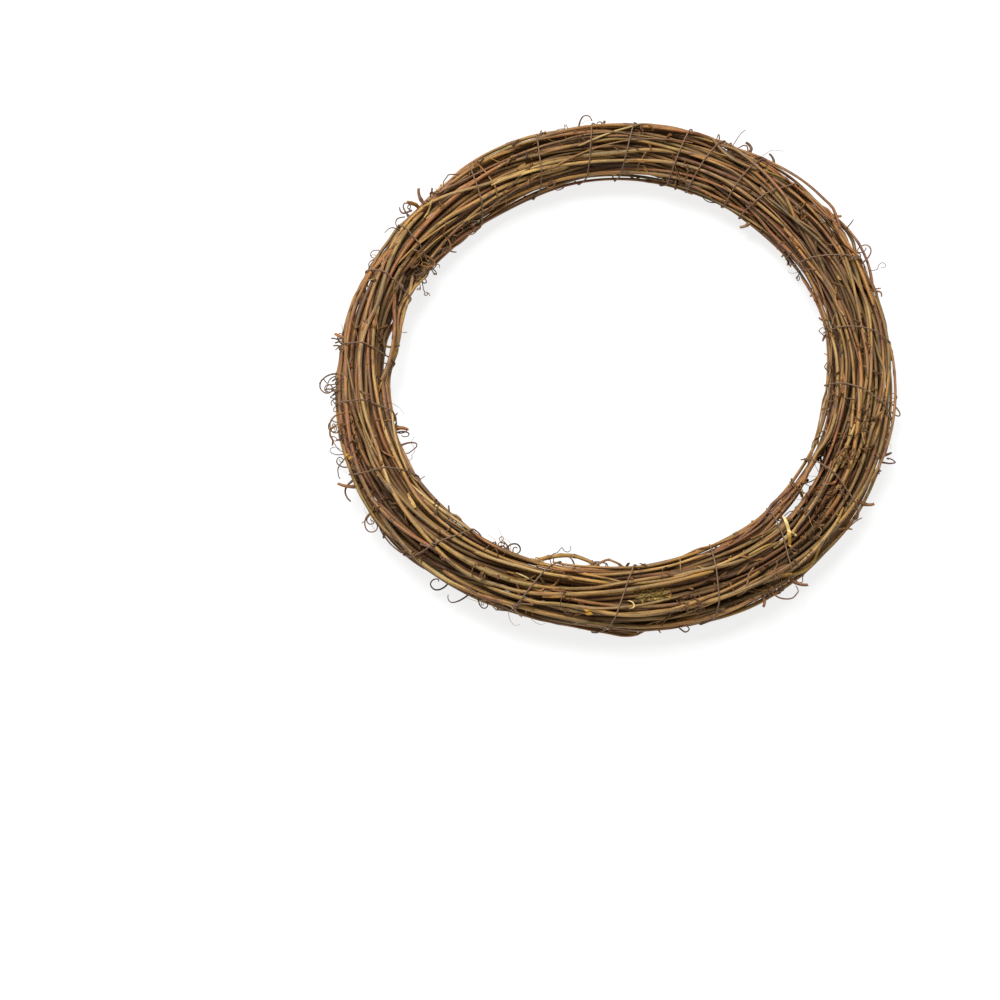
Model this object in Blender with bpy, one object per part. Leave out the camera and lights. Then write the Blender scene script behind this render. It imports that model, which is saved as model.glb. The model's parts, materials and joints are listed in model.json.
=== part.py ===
"""Vine wreath: long woody vines laid round and round in a ring, one binding thread, curly tendrils.

The ring lies flat. X points right, Y away and Z up, and the origin is under the middle of the whole
wreath, on the surface that it rests on. Angles run anticlockwise from +X, seen from above.
A section of the bundle has its own two axes: outward from the ring's middle, and up.
"""
import bpy
import bmesh
import numpy as np
from mathutils import Vector

# Driving dimensions, in metres
RING_RADIUS = 0.135          # middle of the bundle to the middle of the ring
VINE_RADIUS = 0.00175        # a vine, a little larger than life so that fewer of them fill the bundle
VINE_GAP = 0.00036           # air between one vine and the next
PUSH = 0.3                   # share of an overlap that one step of the pressing takes away
THREAD_RADIUS = 0.00055
THREAD_GAP = 0.0003
TENDRIL_RADIUS = 0.00045
STUB_RADIUS = 0.0010
BOW_RADIUS = 0.0011

# The bundle, every 30 degrees from +X: half its width, and how far it strays from the ring
HALF_WIDTHS = 0.001 * np.array((15.9, 17.0, 15.7, 14.3, 16.2, 13.0, 14.0, 16.7, 14.6, 17.8, 18.6, 20.0))
STRAYS = 0.001 * np.array((-0.8, 0.8, 0.5, 0.3, -1.6, -1.6, 0.0, 2.2, -1.6, -4.9, -1.3, 0.0))
ROUND_HALF = 0.0161          # half width at which the bundle is as wide as it is high
HALF_HEIGHT = 0.0155         # half height there
FLAT_UNDERSIDE = 0.88        # the bundle is pressed flat at this share of its half height

# Layers from the heart outwards: laps in the layer, places moved on in one turn, distance out
LAYERS = ((3, 1, 0.14), (8, 1, 0.40), (11, -1, 0.64), (13, 1, 0.86), (4, -1, 1.0))
LAPS_IN_A_VINE = 2.6
HEART_LAYERS = 3             # layers hardly seen from outside, laid with square vines
STATIONS = 30                # places round the ring where every lap is settled
END_REACH = 0.36             # share of the way to the next station that a vine's end reaches
WANDER = 0.0016              # how far a lap strays sideways from its layer
SWIRL = 1.2                  # how far a whole layer turns about the bundle, radians

# Where the thread comes over the outer edge and goes down at the inner edge, degrees
THREAD_OUTER = (3, 20.5, 44, 54, 62.5, 70, 81.5, 91, 103.5, 119.5, 141.5, 155,
                173.5, 185.5, 201.5, 223, 246, 266, 288, 304, 325, 347.5)
THREAD_INNER = (9.5, 31, 51, 56, 67, 72.5, 85.5, 94.5, 107.5, 126, 147, 158,
                177, 193, 211, 233, 255, 275, 295, 314, 332, 354.5)
THREAD_POINTS = 11           # points in one winding

# Loose bows that spring clear of the bundle: from, to, side (0 outward, 90 up, 180 inward), lift
BOWS = ((21.5, 43.0, 8, 0.0095), (37.0, 67.0, 30, 0.0085), (156.5, 181.0, 172, 0.0075),
        (247.0, 266.5, 190, 0.0085), (262.0, 271.0, 168, 0.0050))

# Tendrils: place round the ring, side of the bundle, length, turns of curl, way along the ring
TENDRILS = (
    (23.0, 20, 0.034, 1.1, 1), (57.5, 15, 0.020, 0.5, 1), (95.0, 35, 0.016, 0.4, -1),
    (137.5, 160, 0.022, 0.9, 1), (145.0, 168, 0.032, 1.3, 1), (139.5, 25, 0.018, 0.8, -1),
    (179.5, 12, 0.036, 1.4, 1), (190.0, 24, 0.034, 1.2, 1), (199.5, 165, 0.024, 0.6, 1),
    (211.0, 15, 0.024, 0.7, 1), (239.5, 172, 0.022, 1.2, 1), (258.0, 195, 0.026, 0.5, -1),
    (301.0, 20, 0.022, 0.4, 1), (321.0, 120, 0.026, 1.2, 1), (330.0, 95, 0.028, 1.4, 1),
    (338.0, 10, 0.020, 0.8, 1), (118.0, 310, 0.020, 0.7, 1), (232.0, 325, 0.024, 0.8, -1),
    (8.0, 150, 0.018, 0.7, 1), (283.0, 330, 0.022, 0.9, 1), (70.0, 178, 0.016, 0.6, -1),
    (352.0, 330, 0.022, 0.9, -1))
TENDRIL_POINTS = 17
TENDRIL_BEND = 0.9           # turn before the curl starts, radians
CURL_DRIFT = 0.0019          # sideways step of each turn of curl

# Stubs of trimmed side shoots: place round the ring, side of the bundle, length
STUBS = (
    (35.0, 25, 0.008), (61.0, 25, 0.007), (135.0, 22, 0.009), (136.5, 45, 0.008), (172.5, 20, 0.008),
    (195.0, 160, 0.009), (204.5, 12, 0.013), (225.0, 82, 0.006), (299.0, 25, 0.008),
    (304.5, 12, 0.011), (317.0, 100, 0.008), (15.0, 120, 0.006), (75.0, 60, 0.006),
    (110.0, 150, 0.006), (160.0, 70, 0.006), (250.0, 45, 0.007), (273.0, 110, 0.006),
    (345.0, 60, 0.007), (90.0, 345, 0.007), (215.0, 340, 0.007), (310.0, 185, 0.006),
    (48.0, 185, 0.006), (128.0, 350, 0.006), (328.0, 350, 0.007))
STUB_POINTS = 4

RESTING_CUT = 0.00012        # what the surface has pressed off the lowest windings
SHOOT_GAP = 0.0003           # least air between a shoot and any other piece
SAMPLE_STEP = 0.0009         # spacing of the points that clearances are measured at
SEARCH_REACH = 0.06          # how far from a shoot's middle its neighbours are looked for
TURN_APART = 0.004           # length of tendril between two places that count as different turns
PLACE_SPREAD = 4.0           # how far a shoot may move from its place round the ring, degrees
SIDE_SPREAD = 25.0           # and round the bundle
SHOOT_LEAN = 0.5             # how far a shoot leans out of line with the ring, radians
SHOOT_TRIES = 80
BOW_TRIES = 400
BARK_COLOURS = ((0.28, 0.15, 0.07), (0.36, 0.22, 0.11), (0.22, 0.11, 0.055),
                (0.42, 0.28, 0.14), (0.30, 0.20, 0.12))
THREAD_COLOUR = (0.16, 0.09, 0.05)
TURN = 2 * np.pi
SEED = 11


def around(values, angle):
    """The smooth curve round the ring through values at equal angles: a short Fourier sum."""
    count = len(values)
    waves = np.fft.rfft(values) / count
    order = np.arange(len(waves))
    share = np.where((order == 0) | (order == count / 2), 1, 2)
    return (share * waves * np.exp(1j * np.multiply.outer(angle, order))).sum(-1).real


def half_sizes(angle):
    """Half the width and half the height of the bundle at an angle; a wider bundle lies lower."""
    width = around(HALF_WIDTHS, angle)
    return width, HALF_HEIGHT * np.sqrt(ROUND_HALF / width)


def place(offset, angle):
    """World points for section offsets (outward, up) at angles round the ring.

    Laps run straight from station to station, so between two stations all lies a little further in.
    """
    height = half_sizes(angle)[1]
    half_step = np.pi / STATIONS
    chord = np.cos(half_step) / np.cos(np.mod(angle, 2 * half_step) - half_step)
    out = (RING_RADIUS + around(STRAYS, angle) + offset[..., 0]) * chord
    up = offset[..., 1] + FLAT_UNDERSIDE * height
    return np.stack([out * np.cos(angle), out * np.sin(angle), up], -1)


def waves(rng, angle, orders, size):
    """Seeded smooth noise round the ring: a cosine of each order, the faster the weaker."""
    total = 0
    for order in orders:
        strength = rng.normal(size=size)[..., None] / order
        phase = rng.uniform(0, TURN, size)[..., None]
        total = total + strength * np.cos(order * angle + phase)
    return total


class Bundle:
    """Every lap of vine as offsets in the section at each station, pressed together until none touch.

    A lap's end joins the start of the lap that follows it, so a layer is one long winding.
    """

    def __init__(self):
        rng = np.random.default_rng(SEED)
        self.angle = np.arange(STATIONS) * TURN / STATIONS
        slots, outs, self.following, self.layer = [], [], [], []
        for number, (laps, moved, out) in enumerate(LAYERS):
            first = len(slots)
            swirl = waves(rng, self.angle, (1, 2, 3), ()) * SWIRL
            for lap in range(laps):
                slots.append(TURN * (lap + moved * self.angle / TURN) / laps + swirl)
                outs.append(out)
                self.following.append(first + (lap + moved) % laps)
                self.layer.append(number)
        self.following = np.array(self.following)
        self.leading = np.argsort(self.following)
        slots, outs = np.array(slots), np.array(outs)[:, None]
        count = len(slots)
        width, height = half_sizes(self.angle)
        self.room = np.stack([width - VINE_RADIUS, height - VINE_RADIUS], -1)
        self.floor = FLAT_UNDERSIDE * height
        self.offset = np.stack([np.cos(slots) * outs, np.sin(slots) * outs], -1) * self.room
        radius = np.full((count, STATIONS), VINE_RADIUS) * rng.uniform(0.85, 1.15, (count, 1))
        self.radius = (radius + self.after(radius) + self.before(radius)) / 3
        stray = np.stack([waves(rng, self.angle, (1, 2, 3, 4), (count,)) for _ in range(2)], -1)
        fade = np.sqrt(np.sin(self.angle / 2))[None, :, None]
        self.wish = self.offset + stray * fade * WANDER
        self.press(200, 0.10, 0.02, 0.5)
        self.press(300, 0.05, 0.00, 0.3)
        self.press(500, 0.00, 0.00, 0.1)

    def after(self, values):
        """The value one station further along each lap."""
        shifted = np.roll(values, -1, 1)
        shifted[:, -1] = values[self.following, 0]
        return shifted

    def before(self, values):
        """The value one station back along each lap."""
        shifted = np.roll(values, 1, 1)
        shifted[:, 0] = values[self.leading, -1]
        return shifted

    def closest(self):
        """Where each pair of laps comes nearest between each station and the next.

        Both run straight there, so the share of the way is the foot of a perpendicular.
        Gives that share, the vector from one lap to the other and the air between them.
        """
        start = self.offset[:, None] - self.offset[None]
        change = self.after(self.offset)[:, None] - self.after(self.offset)[None] - start
        share = np.clip(-(start * change).sum(-1) / ((change ** 2).sum(-1) + 1e-12), 0, 1)
        apart = start + change * share[..., None]
        size = self.radius[:, None] + self.radius[None]
        size = size + (self.after(self.radius)[:, None] + self.after(self.radius)[None] - size) * share
        air = np.sqrt((apart ** 2).sum(-1)) - size
        itself = np.arange(len(self.offset))
        air[itself, itself] = 1
        return share, apart, air

    def press(self, steps, smooth, pull, squeeze):
        """Move overlapping laps apart in the section while the bundle is squeezed to its outline."""
        for _ in range(steps):
            share, apart, air = self.closest()
            distance = np.sqrt((apart ** 2).sum(-1)) + 1e-9
            push = (np.maximum(VINE_GAP - air, 0) * PUSH / distance)[..., None] * apart
            here = (push * (1 - share)[..., None]).sum(1)
            self.offset = self.offset + here + self.before((push * share[..., None]).sum(1))
            reach = np.sqrt(((self.offset / self.room) ** 2).sum(-1, keepdims=True))
            self.offset += (self.offset / np.maximum(reach, 1) - self.offset) * squeeze
            self.offset += smooth * ((self.after(self.offset) + self.before(self.offset)) / 2 - self.offset)
            self.offset += pull * (self.wish - self.offset)
            self.offset[..., 1] = np.maximum(self.offset[..., 1], self.radius - self.floor)

    def at(self, angle):
        """Offsets and radii of all laps at any angles, straight between two stations."""
        place_in_turn = np.mod(angle, TURN) / TURN * STATIONS
        station = np.floor(place_in_turn).astype(int) % STATIONS
        share = (place_in_turn - np.floor(place_in_turn))[..., None]
        offset, radius = np.moveaxis(self.offset, 0, 1), self.radius.T
        next_offset = np.moveaxis(self.after(self.offset), 0, 1)
        next_radius = self.after(self.radius).T
        size = radius[station] * (1 - share) + next_radius[station] * share
        share = share[..., None]
        return offset[station] * (1 - share) + next_offset[station] * share, size

    def hull(self, angle, side):
        """Distance out to the tight skin round the bundle, at ring angles and section directions."""
        offset, radius = self.at(angle)
        facing = np.arange(60) * TURN / 60
        normal = np.stack([np.cos(facing), np.sin(facing)], -1)
        reach = (np.einsum("...lk,fk->...fl", offset, normal) + radius[..., None, :]).max(-1)
        slant = np.cos(np.asarray(side)[..., None] - facing)
        return np.where(slant > 0.15, reach / np.maximum(slant, 0.15), np.inf).min(-1)

    def outermost(self, angle, side):
        """The lap that reaches furthest out of the bundle in a direction of the section."""
        offset, radius = self.at(np.array(angle))
        return int(np.argmax(offset @ np.array([np.cos(side), np.sin(side)]) + radius))


def vine_runs(bundle):
    """Cut each layer's long winding into vines: (layer, list of (lap, station)).

    A run holds one station more at each end than its vine reaches, so there is a gap between two.
    """
    rng = np.random.default_rng(SEED + 1)
    runs = []
    for number, (laps, _moved, _out) in enumerate(LAYERS):
        lap = bundle.layer.index(number)
        order = []
        for _ in range(laps):
            order.append(lap)
            lap = bundle.following[lap]
        total = laps * STATIONS
        vines = max(1, round(laps / LAPS_IN_A_VINE))
        first = rng.integers(STATIONS)
        cuts = [first + round(total * vine / vines) + rng.integers(-4, 5) for vine in range(vines)]
        cuts.append(cuts[0] + total)
        for start, end in zip(cuts[:-1], cuts[1:]):
            steps = range(start - 1, end + 1)
            run = [(order[step % total // STATIONS], step % STATIONS) for step in steps]
            runs.append((number, run))
    return runs


def vine_course(bundle, run):
    """World points and radii along one vine: thick at its base, thin at its tip, swollen at nodes."""
    laps, stations = np.array(run).T
    points = place(bundle.offset[laps, stations], bundle.angle[stations])
    points[0] = points[1] + (points[0] - points[1]) * END_REACH
    points[-1] = points[-2] + (points[-1] - points[-2]) * END_REACH
    taper = np.linspace(1.0, 0.80, len(run))
    swelling = np.where(np.arange(len(run)) % 3 == 0, 1.0, 0.93)
    return points, bundle.radius[laps, stations] * taper * swelling


def resample(points, radii, step=SAMPLE_STEP):
    """Points and radii at equal steps along a course, for measuring clearances."""
    lengths = np.linalg.norm(np.diff(points, axis=0), axis=1)
    along = np.concatenate([[0], np.cumsum(lengths)])
    marks = np.linspace(0, along[-1], max(2, int(along[-1] / step)))
    columns = [np.interp(marks, along, points[:, axis]) for axis in range(3)]
    return np.stack(columns, -1), np.interp(marks, along, radii)


def thread_course(bundle):
    """The binding thread: a helix round the bundle's tight skin, kept clear of every vine.

    Under the bundle every winding lies at the same height, flat on what the wreath rests on.
    """
    windings = len(THREAD_OUTER)
    knots = np.arange(2 * windings + 1) / 2
    angles = np.empty(2 * windings + 1)
    angles[0:-1:2], angles[1::2] = THREAD_OUTER, THREAD_INNER
    angles[-1] = THREAD_OUTER[0] + 360
    turn = np.arange(windings * THREAD_POINTS) / THREAD_POINTS
    angle = np.radians(np.interp(turn, knots, angles))
    side = TURN * turn
    out = bundle.hull(angle, side) + THREAD_RADIUS + THREAD_GAP
    lowest_offset = -FLAT_UNDERSIDE * half_sizes(angle)[1] - THREAD_RADIUS - THREAD_GAP
    for _ in range(20):
        offset = out[:, None] * np.stack([np.cos(side), np.sin(side)], -1)
        offset[:, 1] = np.maximum(offset[:, 1], lowest_offset)
        need = np.zeros(len(out))
        for share in (0.0, 0.25, 0.5, 0.75):
            spot = offset + (np.roll(offset, -1, 0) - offset) * share
            ahead = np.roll(angle, -1) + np.where(np.arange(len(out)) == len(out) - 1, TURN, 0)
            laps, radius = bundle.at(angle + (ahead - angle) * share)
            gap = (np.linalg.norm(laps - spot[:, None], axis=-1) - radius).min(-1)
            lack = np.maximum(THREAD_RADIUS + THREAD_GAP - gap, 0)
            need = np.maximum(need, np.maximum(lack, np.roll(lack, 1) if share else 0))
        out = out + need
    return place(offset, angle)


def section_frame(angle, side):
    """Unit vectors at the bundle's surface: out of the section, along the ring, and across both."""
    outward = np.array([np.cos(side) * np.cos(angle), np.cos(side) * np.sin(angle), np.sin(side)])
    along = np.array([-np.sin(angle), np.cos(angle), 0.0])
    return outward, along, np.cross(outward, along)


def shoot_course(bundle, lap, angle, side, length, curl, way, lean, points):
    """A shoot from the middle of a lap: it leaves outward, leans along the ring and curls up.

    Its heading turns steadily faster, as on a clock spring, and each turn steps sideways.
    """
    offset, _radius = bundle.at(np.array(angle))
    root = place(offset[lap], np.array(angle))
    outward, along, across = section_frame(angle, side)
    flat = way * (along * np.cos(lean) + across * np.sin(lean))
    beside = np.cross(outward, flat)
    share = np.linspace(0, 1, points)
    middle = (share[1:] + share[:-1]) / 2
    heading = TENDRIL_BEND * middle + TURN * curl * middle ** 2.2
    steps = np.cos(heading)[:, None] * outward + np.sin(heading)[:, None] * flat
    steps = steps * length / (points - 1)
    drift = CURL_DRIFT * curl * np.diff(share ** 2)
    steps = steps + drift[:, None] * beside
    return np.concatenate([root[None], root + np.cumsum(steps, 0)])


def bow_course(bundle, lap, start, end, side, lift):
    """A loose bow: it parts from a lap, arches away to one side and comes back to the same lap."""
    share = np.linspace(0, 1, 11)
    angle = start + (end - start) * share
    offset, _radius = bundle.at(angle)
    rise = lift * np.sin(np.pi * share)[:, None] * np.array([np.cos(side), np.sin(side)])
    return place(offset[:, lap] + rise, angle)


class Space:
    """Everything laid so far, as balls, with the number of the vine or piece that each belongs to."""

    def __init__(self):
        self.points, self.radii, self.owner = np.zeros((0, 3)), np.zeros(0), np.zeros(0, int)
        self.floor = -1.0

    def add(self, course, radii, owner):
        points, radii = resample(course, radii)
        self.points = np.concatenate([self.points, points])
        self.radii = np.concatenate([self.radii, radii])
        self.owner = np.concatenate([self.owner, np.full(len(points), owner)])

    def clearance(self, course, radii, owner, root_length):
        """Smallest gap from a shoot to other pieces, to the floor and to its own other turns.

        Past its root it must clear its own vine too.
        """
        points, radii = resample(course, radii)
        near = np.linalg.norm(self.points - points.mean(0), axis=1) < SEARCH_REACH
        gap = np.linalg.norm(points[:, None] - self.points[near], axis=-1) - radii[:, None] - self.radii[near]
        own = self.owner[near] == owner
        free = np.arange(len(points)) * SAMPLE_STEP > root_length
        above = (points[:, 2] - radii).min() - self.floor
        order = np.arange(len(points))
        turns = np.linalg.norm(points[:, None] - points, axis=-1) - radii[:, None] - radii
        apart = np.abs(order[:, None] - order) * SAMPLE_STEP > TURN_APART
        own_gap = min(gap[free][:, own].min(initial=1), turns[apart].min(initial=1))
        return min(gap[:, ~own].min(initial=1), own_gap, above)


def piece_material(name, colour):
    """A Principled material for one piece."""
    material = bpy.data.materials.new(name)
    material.use_nodes = True
    shader = material.node_tree.nodes["Principled BSDF"]
    shader.inputs["Base Color"].default_value = (*colour, 1)
    shader.inputs["Roughness"].default_value = 0.7
    shader.inputs["Metallic"].default_value = 0.0
    return material


def ring_profile(sides):
    """A flat ring of straight sides, one metre in radius, that a tube's section is taken from."""
    curve = bpy.data.curves.new(f"profile_{sides}", "CURVE")
    curve.dimensions = "2D"
    spline = curve.splines.new("POLY")
    spline.points.add(sides - 1)
    for corner, point in enumerate(spline.points):
        turn = TURN * corner / sides
        point.co = (np.cos(turn), np.sin(turn), 0, 1)
    spline.use_cyclic_u = True
    profile = bpy.data.objects.new(f"profile_{sides}", curve)
    profile.hide_render = True
    profile.display_type = "WIRE"
    helpers.objects.link(profile)
    return profile


def tube(name, course, radii, profile, collection, cyclic=False):
    """A closed mesh tube along a course: a curve with a bevel object, made a mesh and welded."""
    curve = bpy.data.curves.new(name, "CURVE")
    curve.dimensions = "3D"
    curve.twist_mode = "MINIMUM"
    curve.bevel_mode = "OBJECT"
    curve.bevel_object = profile
    curve.use_fill_caps = not cyclic
    spline = curve.splines.new("POLY")
    spline.points.add(len(course) - 1)
    for point, spot, radius in zip(spline.points, course, radii):
        point.co = (*spot, 1)
        point.radius = radius
    spline.use_cyclic_u = cyclic
    guide = bpy.data.objects.new(name + "_guide", curve)
    helpers.objects.link(guide)
    bpy.context.view_layer.update()
    evaluated = guide.evaluated_get(bpy.context.evaluated_depsgraph_get())
    mesh = bpy.data.meshes.new_from_object(evaluated)
    mesh.name = name
    solid = bpy.data.objects.new(name, mesh)
    solid.matrix_world = guide.matrix_world
    collection.objects.link(solid)
    bpy.data.objects.remove(guide)
    body = bmesh.new()
    body.from_mesh(mesh)
    bmesh.ops.remove_doubles(body, verts=body.verts, dist=0.000005)
    bmesh.ops.recalc_face_normals(body, faces=body.faces)
    body.to_mesh(mesh)
    body.free()
    return solid


def join_shoots(vine, shoots):
    """Fuse a vine and the shoots that grow from it into one solid, and drop the loose shoots."""
    collection = bpy.data.collections.new(vine.name + "_shoots")
    bpy.context.scene.collection.children.link(collection)
    for shoot in shoots:
        helpers.objects.unlink(shoot)
        collection.objects.link(shoot)
    union = vine.modifiers.new("shoots", "BOOLEAN")
    union.operation = "UNION"
    union.operand_type = "COLLECTION"
    union.collection = collection
    union.solver = "MANIFOLD"
    bpy.context.view_layer.update()
    evaluated = vine.evaluated_get(bpy.context.evaluated_depsgraph_get())
    joined = bpy.data.meshes.new_from_object(evaluated)
    vine.modifiers.remove(union)
    vine.data = joined
    for shoot in shoots:
        bpy.data.objects.remove(shoot)
    bpy.data.collections.remove(collection)


def flatten_underside(solid, height):
    """Slice off what hangs below a height and close the cut with a flat face."""
    body = bmesh.new()
    body.from_mesh(solid.data)
    everything = body.verts[:] + body.edges[:] + body.faces[:]
    bmesh.ops.bisect_plane(body, geom=everything, plane_co=(0, 0, height), plane_no=(0, 0, -1),
                           clear_outer=True, dist=0.000001)
    rim = [edge for edge in body.edges if edge.is_boundary]
    bmesh.ops.holes_fill(body, edges=rim, sides=0)
    bmesh.ops.remove_doubles(body, verts=body.verts, dist=0.000005)
    body.to_mesh(solid.data)
    body.free()


def lowest(solid):
    """The lowest point of a mesh."""
    return min(vertex.co.z for vertex in solid.data.vertices)


class Wreath:
    """The vines, the thread and the shoots, laid one after another into the same space."""

    def __init__(self):
        self.bundle = Bundle()
        self.runs = vine_runs(self.bundle)
        self.owners = {spot: number for number, (_layer, run) in enumerate(self.runs) for spot in run[1:-1]}
        self.space = Space()
        self.profiles = {sides: ring_profile(sides) for sides in (3, 4, 5)}
        self.vines = [self.lay_vine(number) for number in range(len(self.runs))]
        self.shoots = [[] for _ in self.runs]
        self.thread = self.lay_thread()

    def lay_vine(self, number):
        """One vine as a tube; those of the heart are square."""
        layer, run = self.runs[number]
        course, radii = vine_course(self.bundle, run)
        self.space.add(course, radii, number)
        profile = self.profiles[4 if layer < HEART_LAYERS else 5]
        return tube(f"vine_{number + 1:02d}", course, radii, profile, wreath)

    def lay_thread(self):
        """The closed winding of thread; its lowest point is the floor of the space."""
        course = thread_course(self.bundle)
        radii = np.full(len(course) + 1, THREAD_RADIUS)
        self.space.add(np.concatenate([course, course[:1]]), radii, len(self.runs))
        self.space.floor = course[:, 2].min() - THREAD_RADIUS
        return tube("binding_thread", course, radii[1:], self.profiles[4], wreath, cyclic=True)

    def owner_at(self, lap, angle):
        """The vine that a lap belongs to at an angle, or None next to a vine's end."""
        station = int(np.mod(angle, TURN) / TURN * STATIONS) % STATIONS
        here = self.owners[(lap, station)]
        ahead = (lap, station + 1) if station + 1 < STATIONS else (self.bundle.following[lap], 0)
        return here if self.owners[ahead] == here else None

    def near(self, rng, spread, angle, side):
        """A place close to the wished one, the further off the more tries have failed."""
        angle = np.radians(angle + rng.normal() * PLACE_SPREAD * spread)
        side = np.radians(side + rng.normal() * SIDE_SPREAD * spread)
        return angle, side, self.bundle.outermost(angle, side)

    def shoot_tries(self, seed, angle, side, length, curl, way, points):
        """Courses for one tendril or stub, each with the vine that it grows from."""
        rng = np.random.default_rng([SEED, *seed])
        for spread in np.arange(SHOOT_TRIES) / SHOOT_TRIES:
            here, facing, lap = self.near(rng, spread, angle, side)
            lean = rng.normal() * SHOOT_LEAN
            owner = self.owner_at(lap, here)
            if owner is not None:
                grown = length * (1 - 0.3 * spread)
                yield owner, shoot_course(self.bundle, lap, here, facing, grown, curl, way, lean, points)

    def bow_tries(self, seed, start, end, side, lift):
        """Courses for one bow, whose two ends must lie on the same vine as its middle."""
        rng = np.random.default_rng([SEED, *seed])
        half = np.radians(end - start) / 2
        for spread in np.arange(BOW_TRIES) / BOW_TRIES:
            middle, facing, lap = self.near(rng, spread, (start + end) / 2, side)
            reach = half * rng.uniform(1 - 0.3 * spread, 1 + 0.1 * spread)
            owner = self.owner_at(lap, middle)
            ends = {self.owner_at(lap, middle - reach), self.owner_at(lap, middle + reach)}
            if owner is not None and ends == {owner}:
                yield owner, bow_course(self.bundle, lap, middle - reach, middle + reach, facing, lift)

    def grow(self, name, tries, radius, taper, root, sides):
        """Make the first course that is clear of everything else, or leave the shoot out."""
        best = -1.0
        for owner, course in tries:
            radii = radius * np.linspace(*taper, len(course))
            gap = self.space.clearance(course, radii, owner, root)
            if gap > SHOOT_GAP:
                self.shoots[owner].append(tube(name, course, radii, self.profiles[sides], helpers))
                self.space.add(course, radii, owner)
                return
            best = max(best, gap)
        print(f"{name} is left out: at best {best * 1000:.2f} mm clear")

    def grow_all(self):
        """Bows, tendrils and stubs, then each vine fused with what grows from it."""
        for number, bow in enumerate(BOWS):
            self.grow(f"bow_{number}", self.bow_tries((1, number), *bow), BOW_RADIUS, (1, 1), 1.0, 5)
        root = VINE_RADIUS * 2.2
        for number, tendril in enumerate(TENDRILS):
            tries = self.shoot_tries((2, number), *tendril, TENDRIL_POINTS)
            self.grow(f"tendril_{number}", tries, TENDRIL_RADIUS, (1.15, 0.75), root, 3)
        for number, (angle, side, length) in enumerate(STUBS):
            way = 1 if number % 2 else -1
            tries = self.shoot_tries((3, number), angle, side, length, 0, way, STUB_POINTS)
            self.grow(f"stub_{number}", tries, STUB_RADIUS, (1.15, 0.75), root, 5)
        for vine, shoots in zip(self.vines, self.shoots):
            if shoots:
                join_shoots(vine, shoots)

    def settle(self):
        """Press the lowest windings flat and put the origin under the middle of the whole wreath."""
        flatten_underside(self.thread, lowest(self.thread) + RESTING_CUT)
        solids = (*self.vines, self.thread)
        corners = np.array([vertex.co for solid in solids for vertex in solid.data.vertices])
        low, high = corners.min(0), corners.max(0)
        shift = Vector((-(low[0] + high[0]) / 2, -(low[1] + high[1]) / 2, -low[2]))
        for number, solid in enumerate(solids):
            for vertex in solid.data.vertices:
                vertex.co += shift
            colour = THREAD_COLOUR if solid is self.thread else BARK_COLOURS[number % len(BARK_COLOURS)]
            solid.data.materials.clear()
            solid.data.materials.append(piece_material(solid.name, colour))
            solid.data.shade_smooth()
            solid.data.set_sharp_from_angle(angle=np.radians(40))
        print(f"moved by {[round(value * 1000, 3) for value in shift]} mm, size {(high - low) * 1000} mm")
        print("triangles", sum(len(face.vertices) - 2 for solid in solids for face in solid.data.polygons))


for leftover in list(bpy.data.objects):
    bpy.data.objects.remove(leftover)
wreath = bpy.data.collections.new("vine_wreath")
helpers = bpy.data.collections.new("guides")
for group in (wreath, helpers):
    bpy.context.scene.collection.children.link(group)

whole = Wreath()
print(f"least air between laps {whole.bundle.closest()[2].min() * 1000:.2f} mm")
whole.grow_all()
whole.settle()
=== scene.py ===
# %% [markdown]
# # A wreath of woody vine
#
# The real thing is a ring of long dried vines, laid round and round in a loose bundle and bound with one
# thin brown thread. Curly tendrils, trimmed side shoots, peeled bark and broken twigs stick out all round.
# This lesson dresses the solid model of it: each thick vine there becomes two thin stems with nodes and
# bark, the thread becomes a twisted one, and all that is too small for a solid model is laid on top.

# %% [markdown]
# ## The frame
#
# The solid model comes first, because every piece here takes its place from it.

# %% Load the solid model
import bpy
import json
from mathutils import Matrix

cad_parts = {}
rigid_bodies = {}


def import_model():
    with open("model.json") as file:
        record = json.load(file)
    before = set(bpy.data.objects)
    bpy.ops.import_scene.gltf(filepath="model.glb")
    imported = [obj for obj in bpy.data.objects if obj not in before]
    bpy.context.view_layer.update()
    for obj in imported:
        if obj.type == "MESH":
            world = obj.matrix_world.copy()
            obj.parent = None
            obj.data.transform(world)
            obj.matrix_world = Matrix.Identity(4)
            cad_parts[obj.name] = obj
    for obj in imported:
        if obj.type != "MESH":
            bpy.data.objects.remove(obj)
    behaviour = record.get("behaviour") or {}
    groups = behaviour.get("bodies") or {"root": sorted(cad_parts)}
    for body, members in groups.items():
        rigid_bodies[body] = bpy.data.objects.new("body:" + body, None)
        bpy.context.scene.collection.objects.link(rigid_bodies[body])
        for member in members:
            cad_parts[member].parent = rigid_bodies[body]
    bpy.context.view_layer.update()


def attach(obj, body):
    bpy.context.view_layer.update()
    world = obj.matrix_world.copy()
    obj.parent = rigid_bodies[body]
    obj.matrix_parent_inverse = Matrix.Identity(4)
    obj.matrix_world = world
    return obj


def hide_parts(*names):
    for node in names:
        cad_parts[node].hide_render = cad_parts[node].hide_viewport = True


for leftover in list(bpy.data.objects):
    bpy.data.objects.remove(leftover)
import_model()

import json
import numpy as np
from mathutils import Matrix, Vector

TURN = 2 * np.pi
MM = 0.001

# %% [markdown]
# ## Camera, floor and light
#
# The picture looks down steeply on the wreath from the front with a long lens. A camera is three axes and
# a place, so its matrix is written out: it looks along `ahead`, and `right` and `up` turn a little about
# that. The floor is white and so is the sky, as in a light tent, and one large lamp from the upper left
# gives each stem a lit side and a dark one.

# %% Camera
ELEVATION, ROLL = np.radians(68.6), np.radians(-1.55)
DISTANCE, LENS, SENSOR = 1.2926, 86.4, 36.0
aim = np.array((-0.0605, -0.0708, 0.0))

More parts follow.
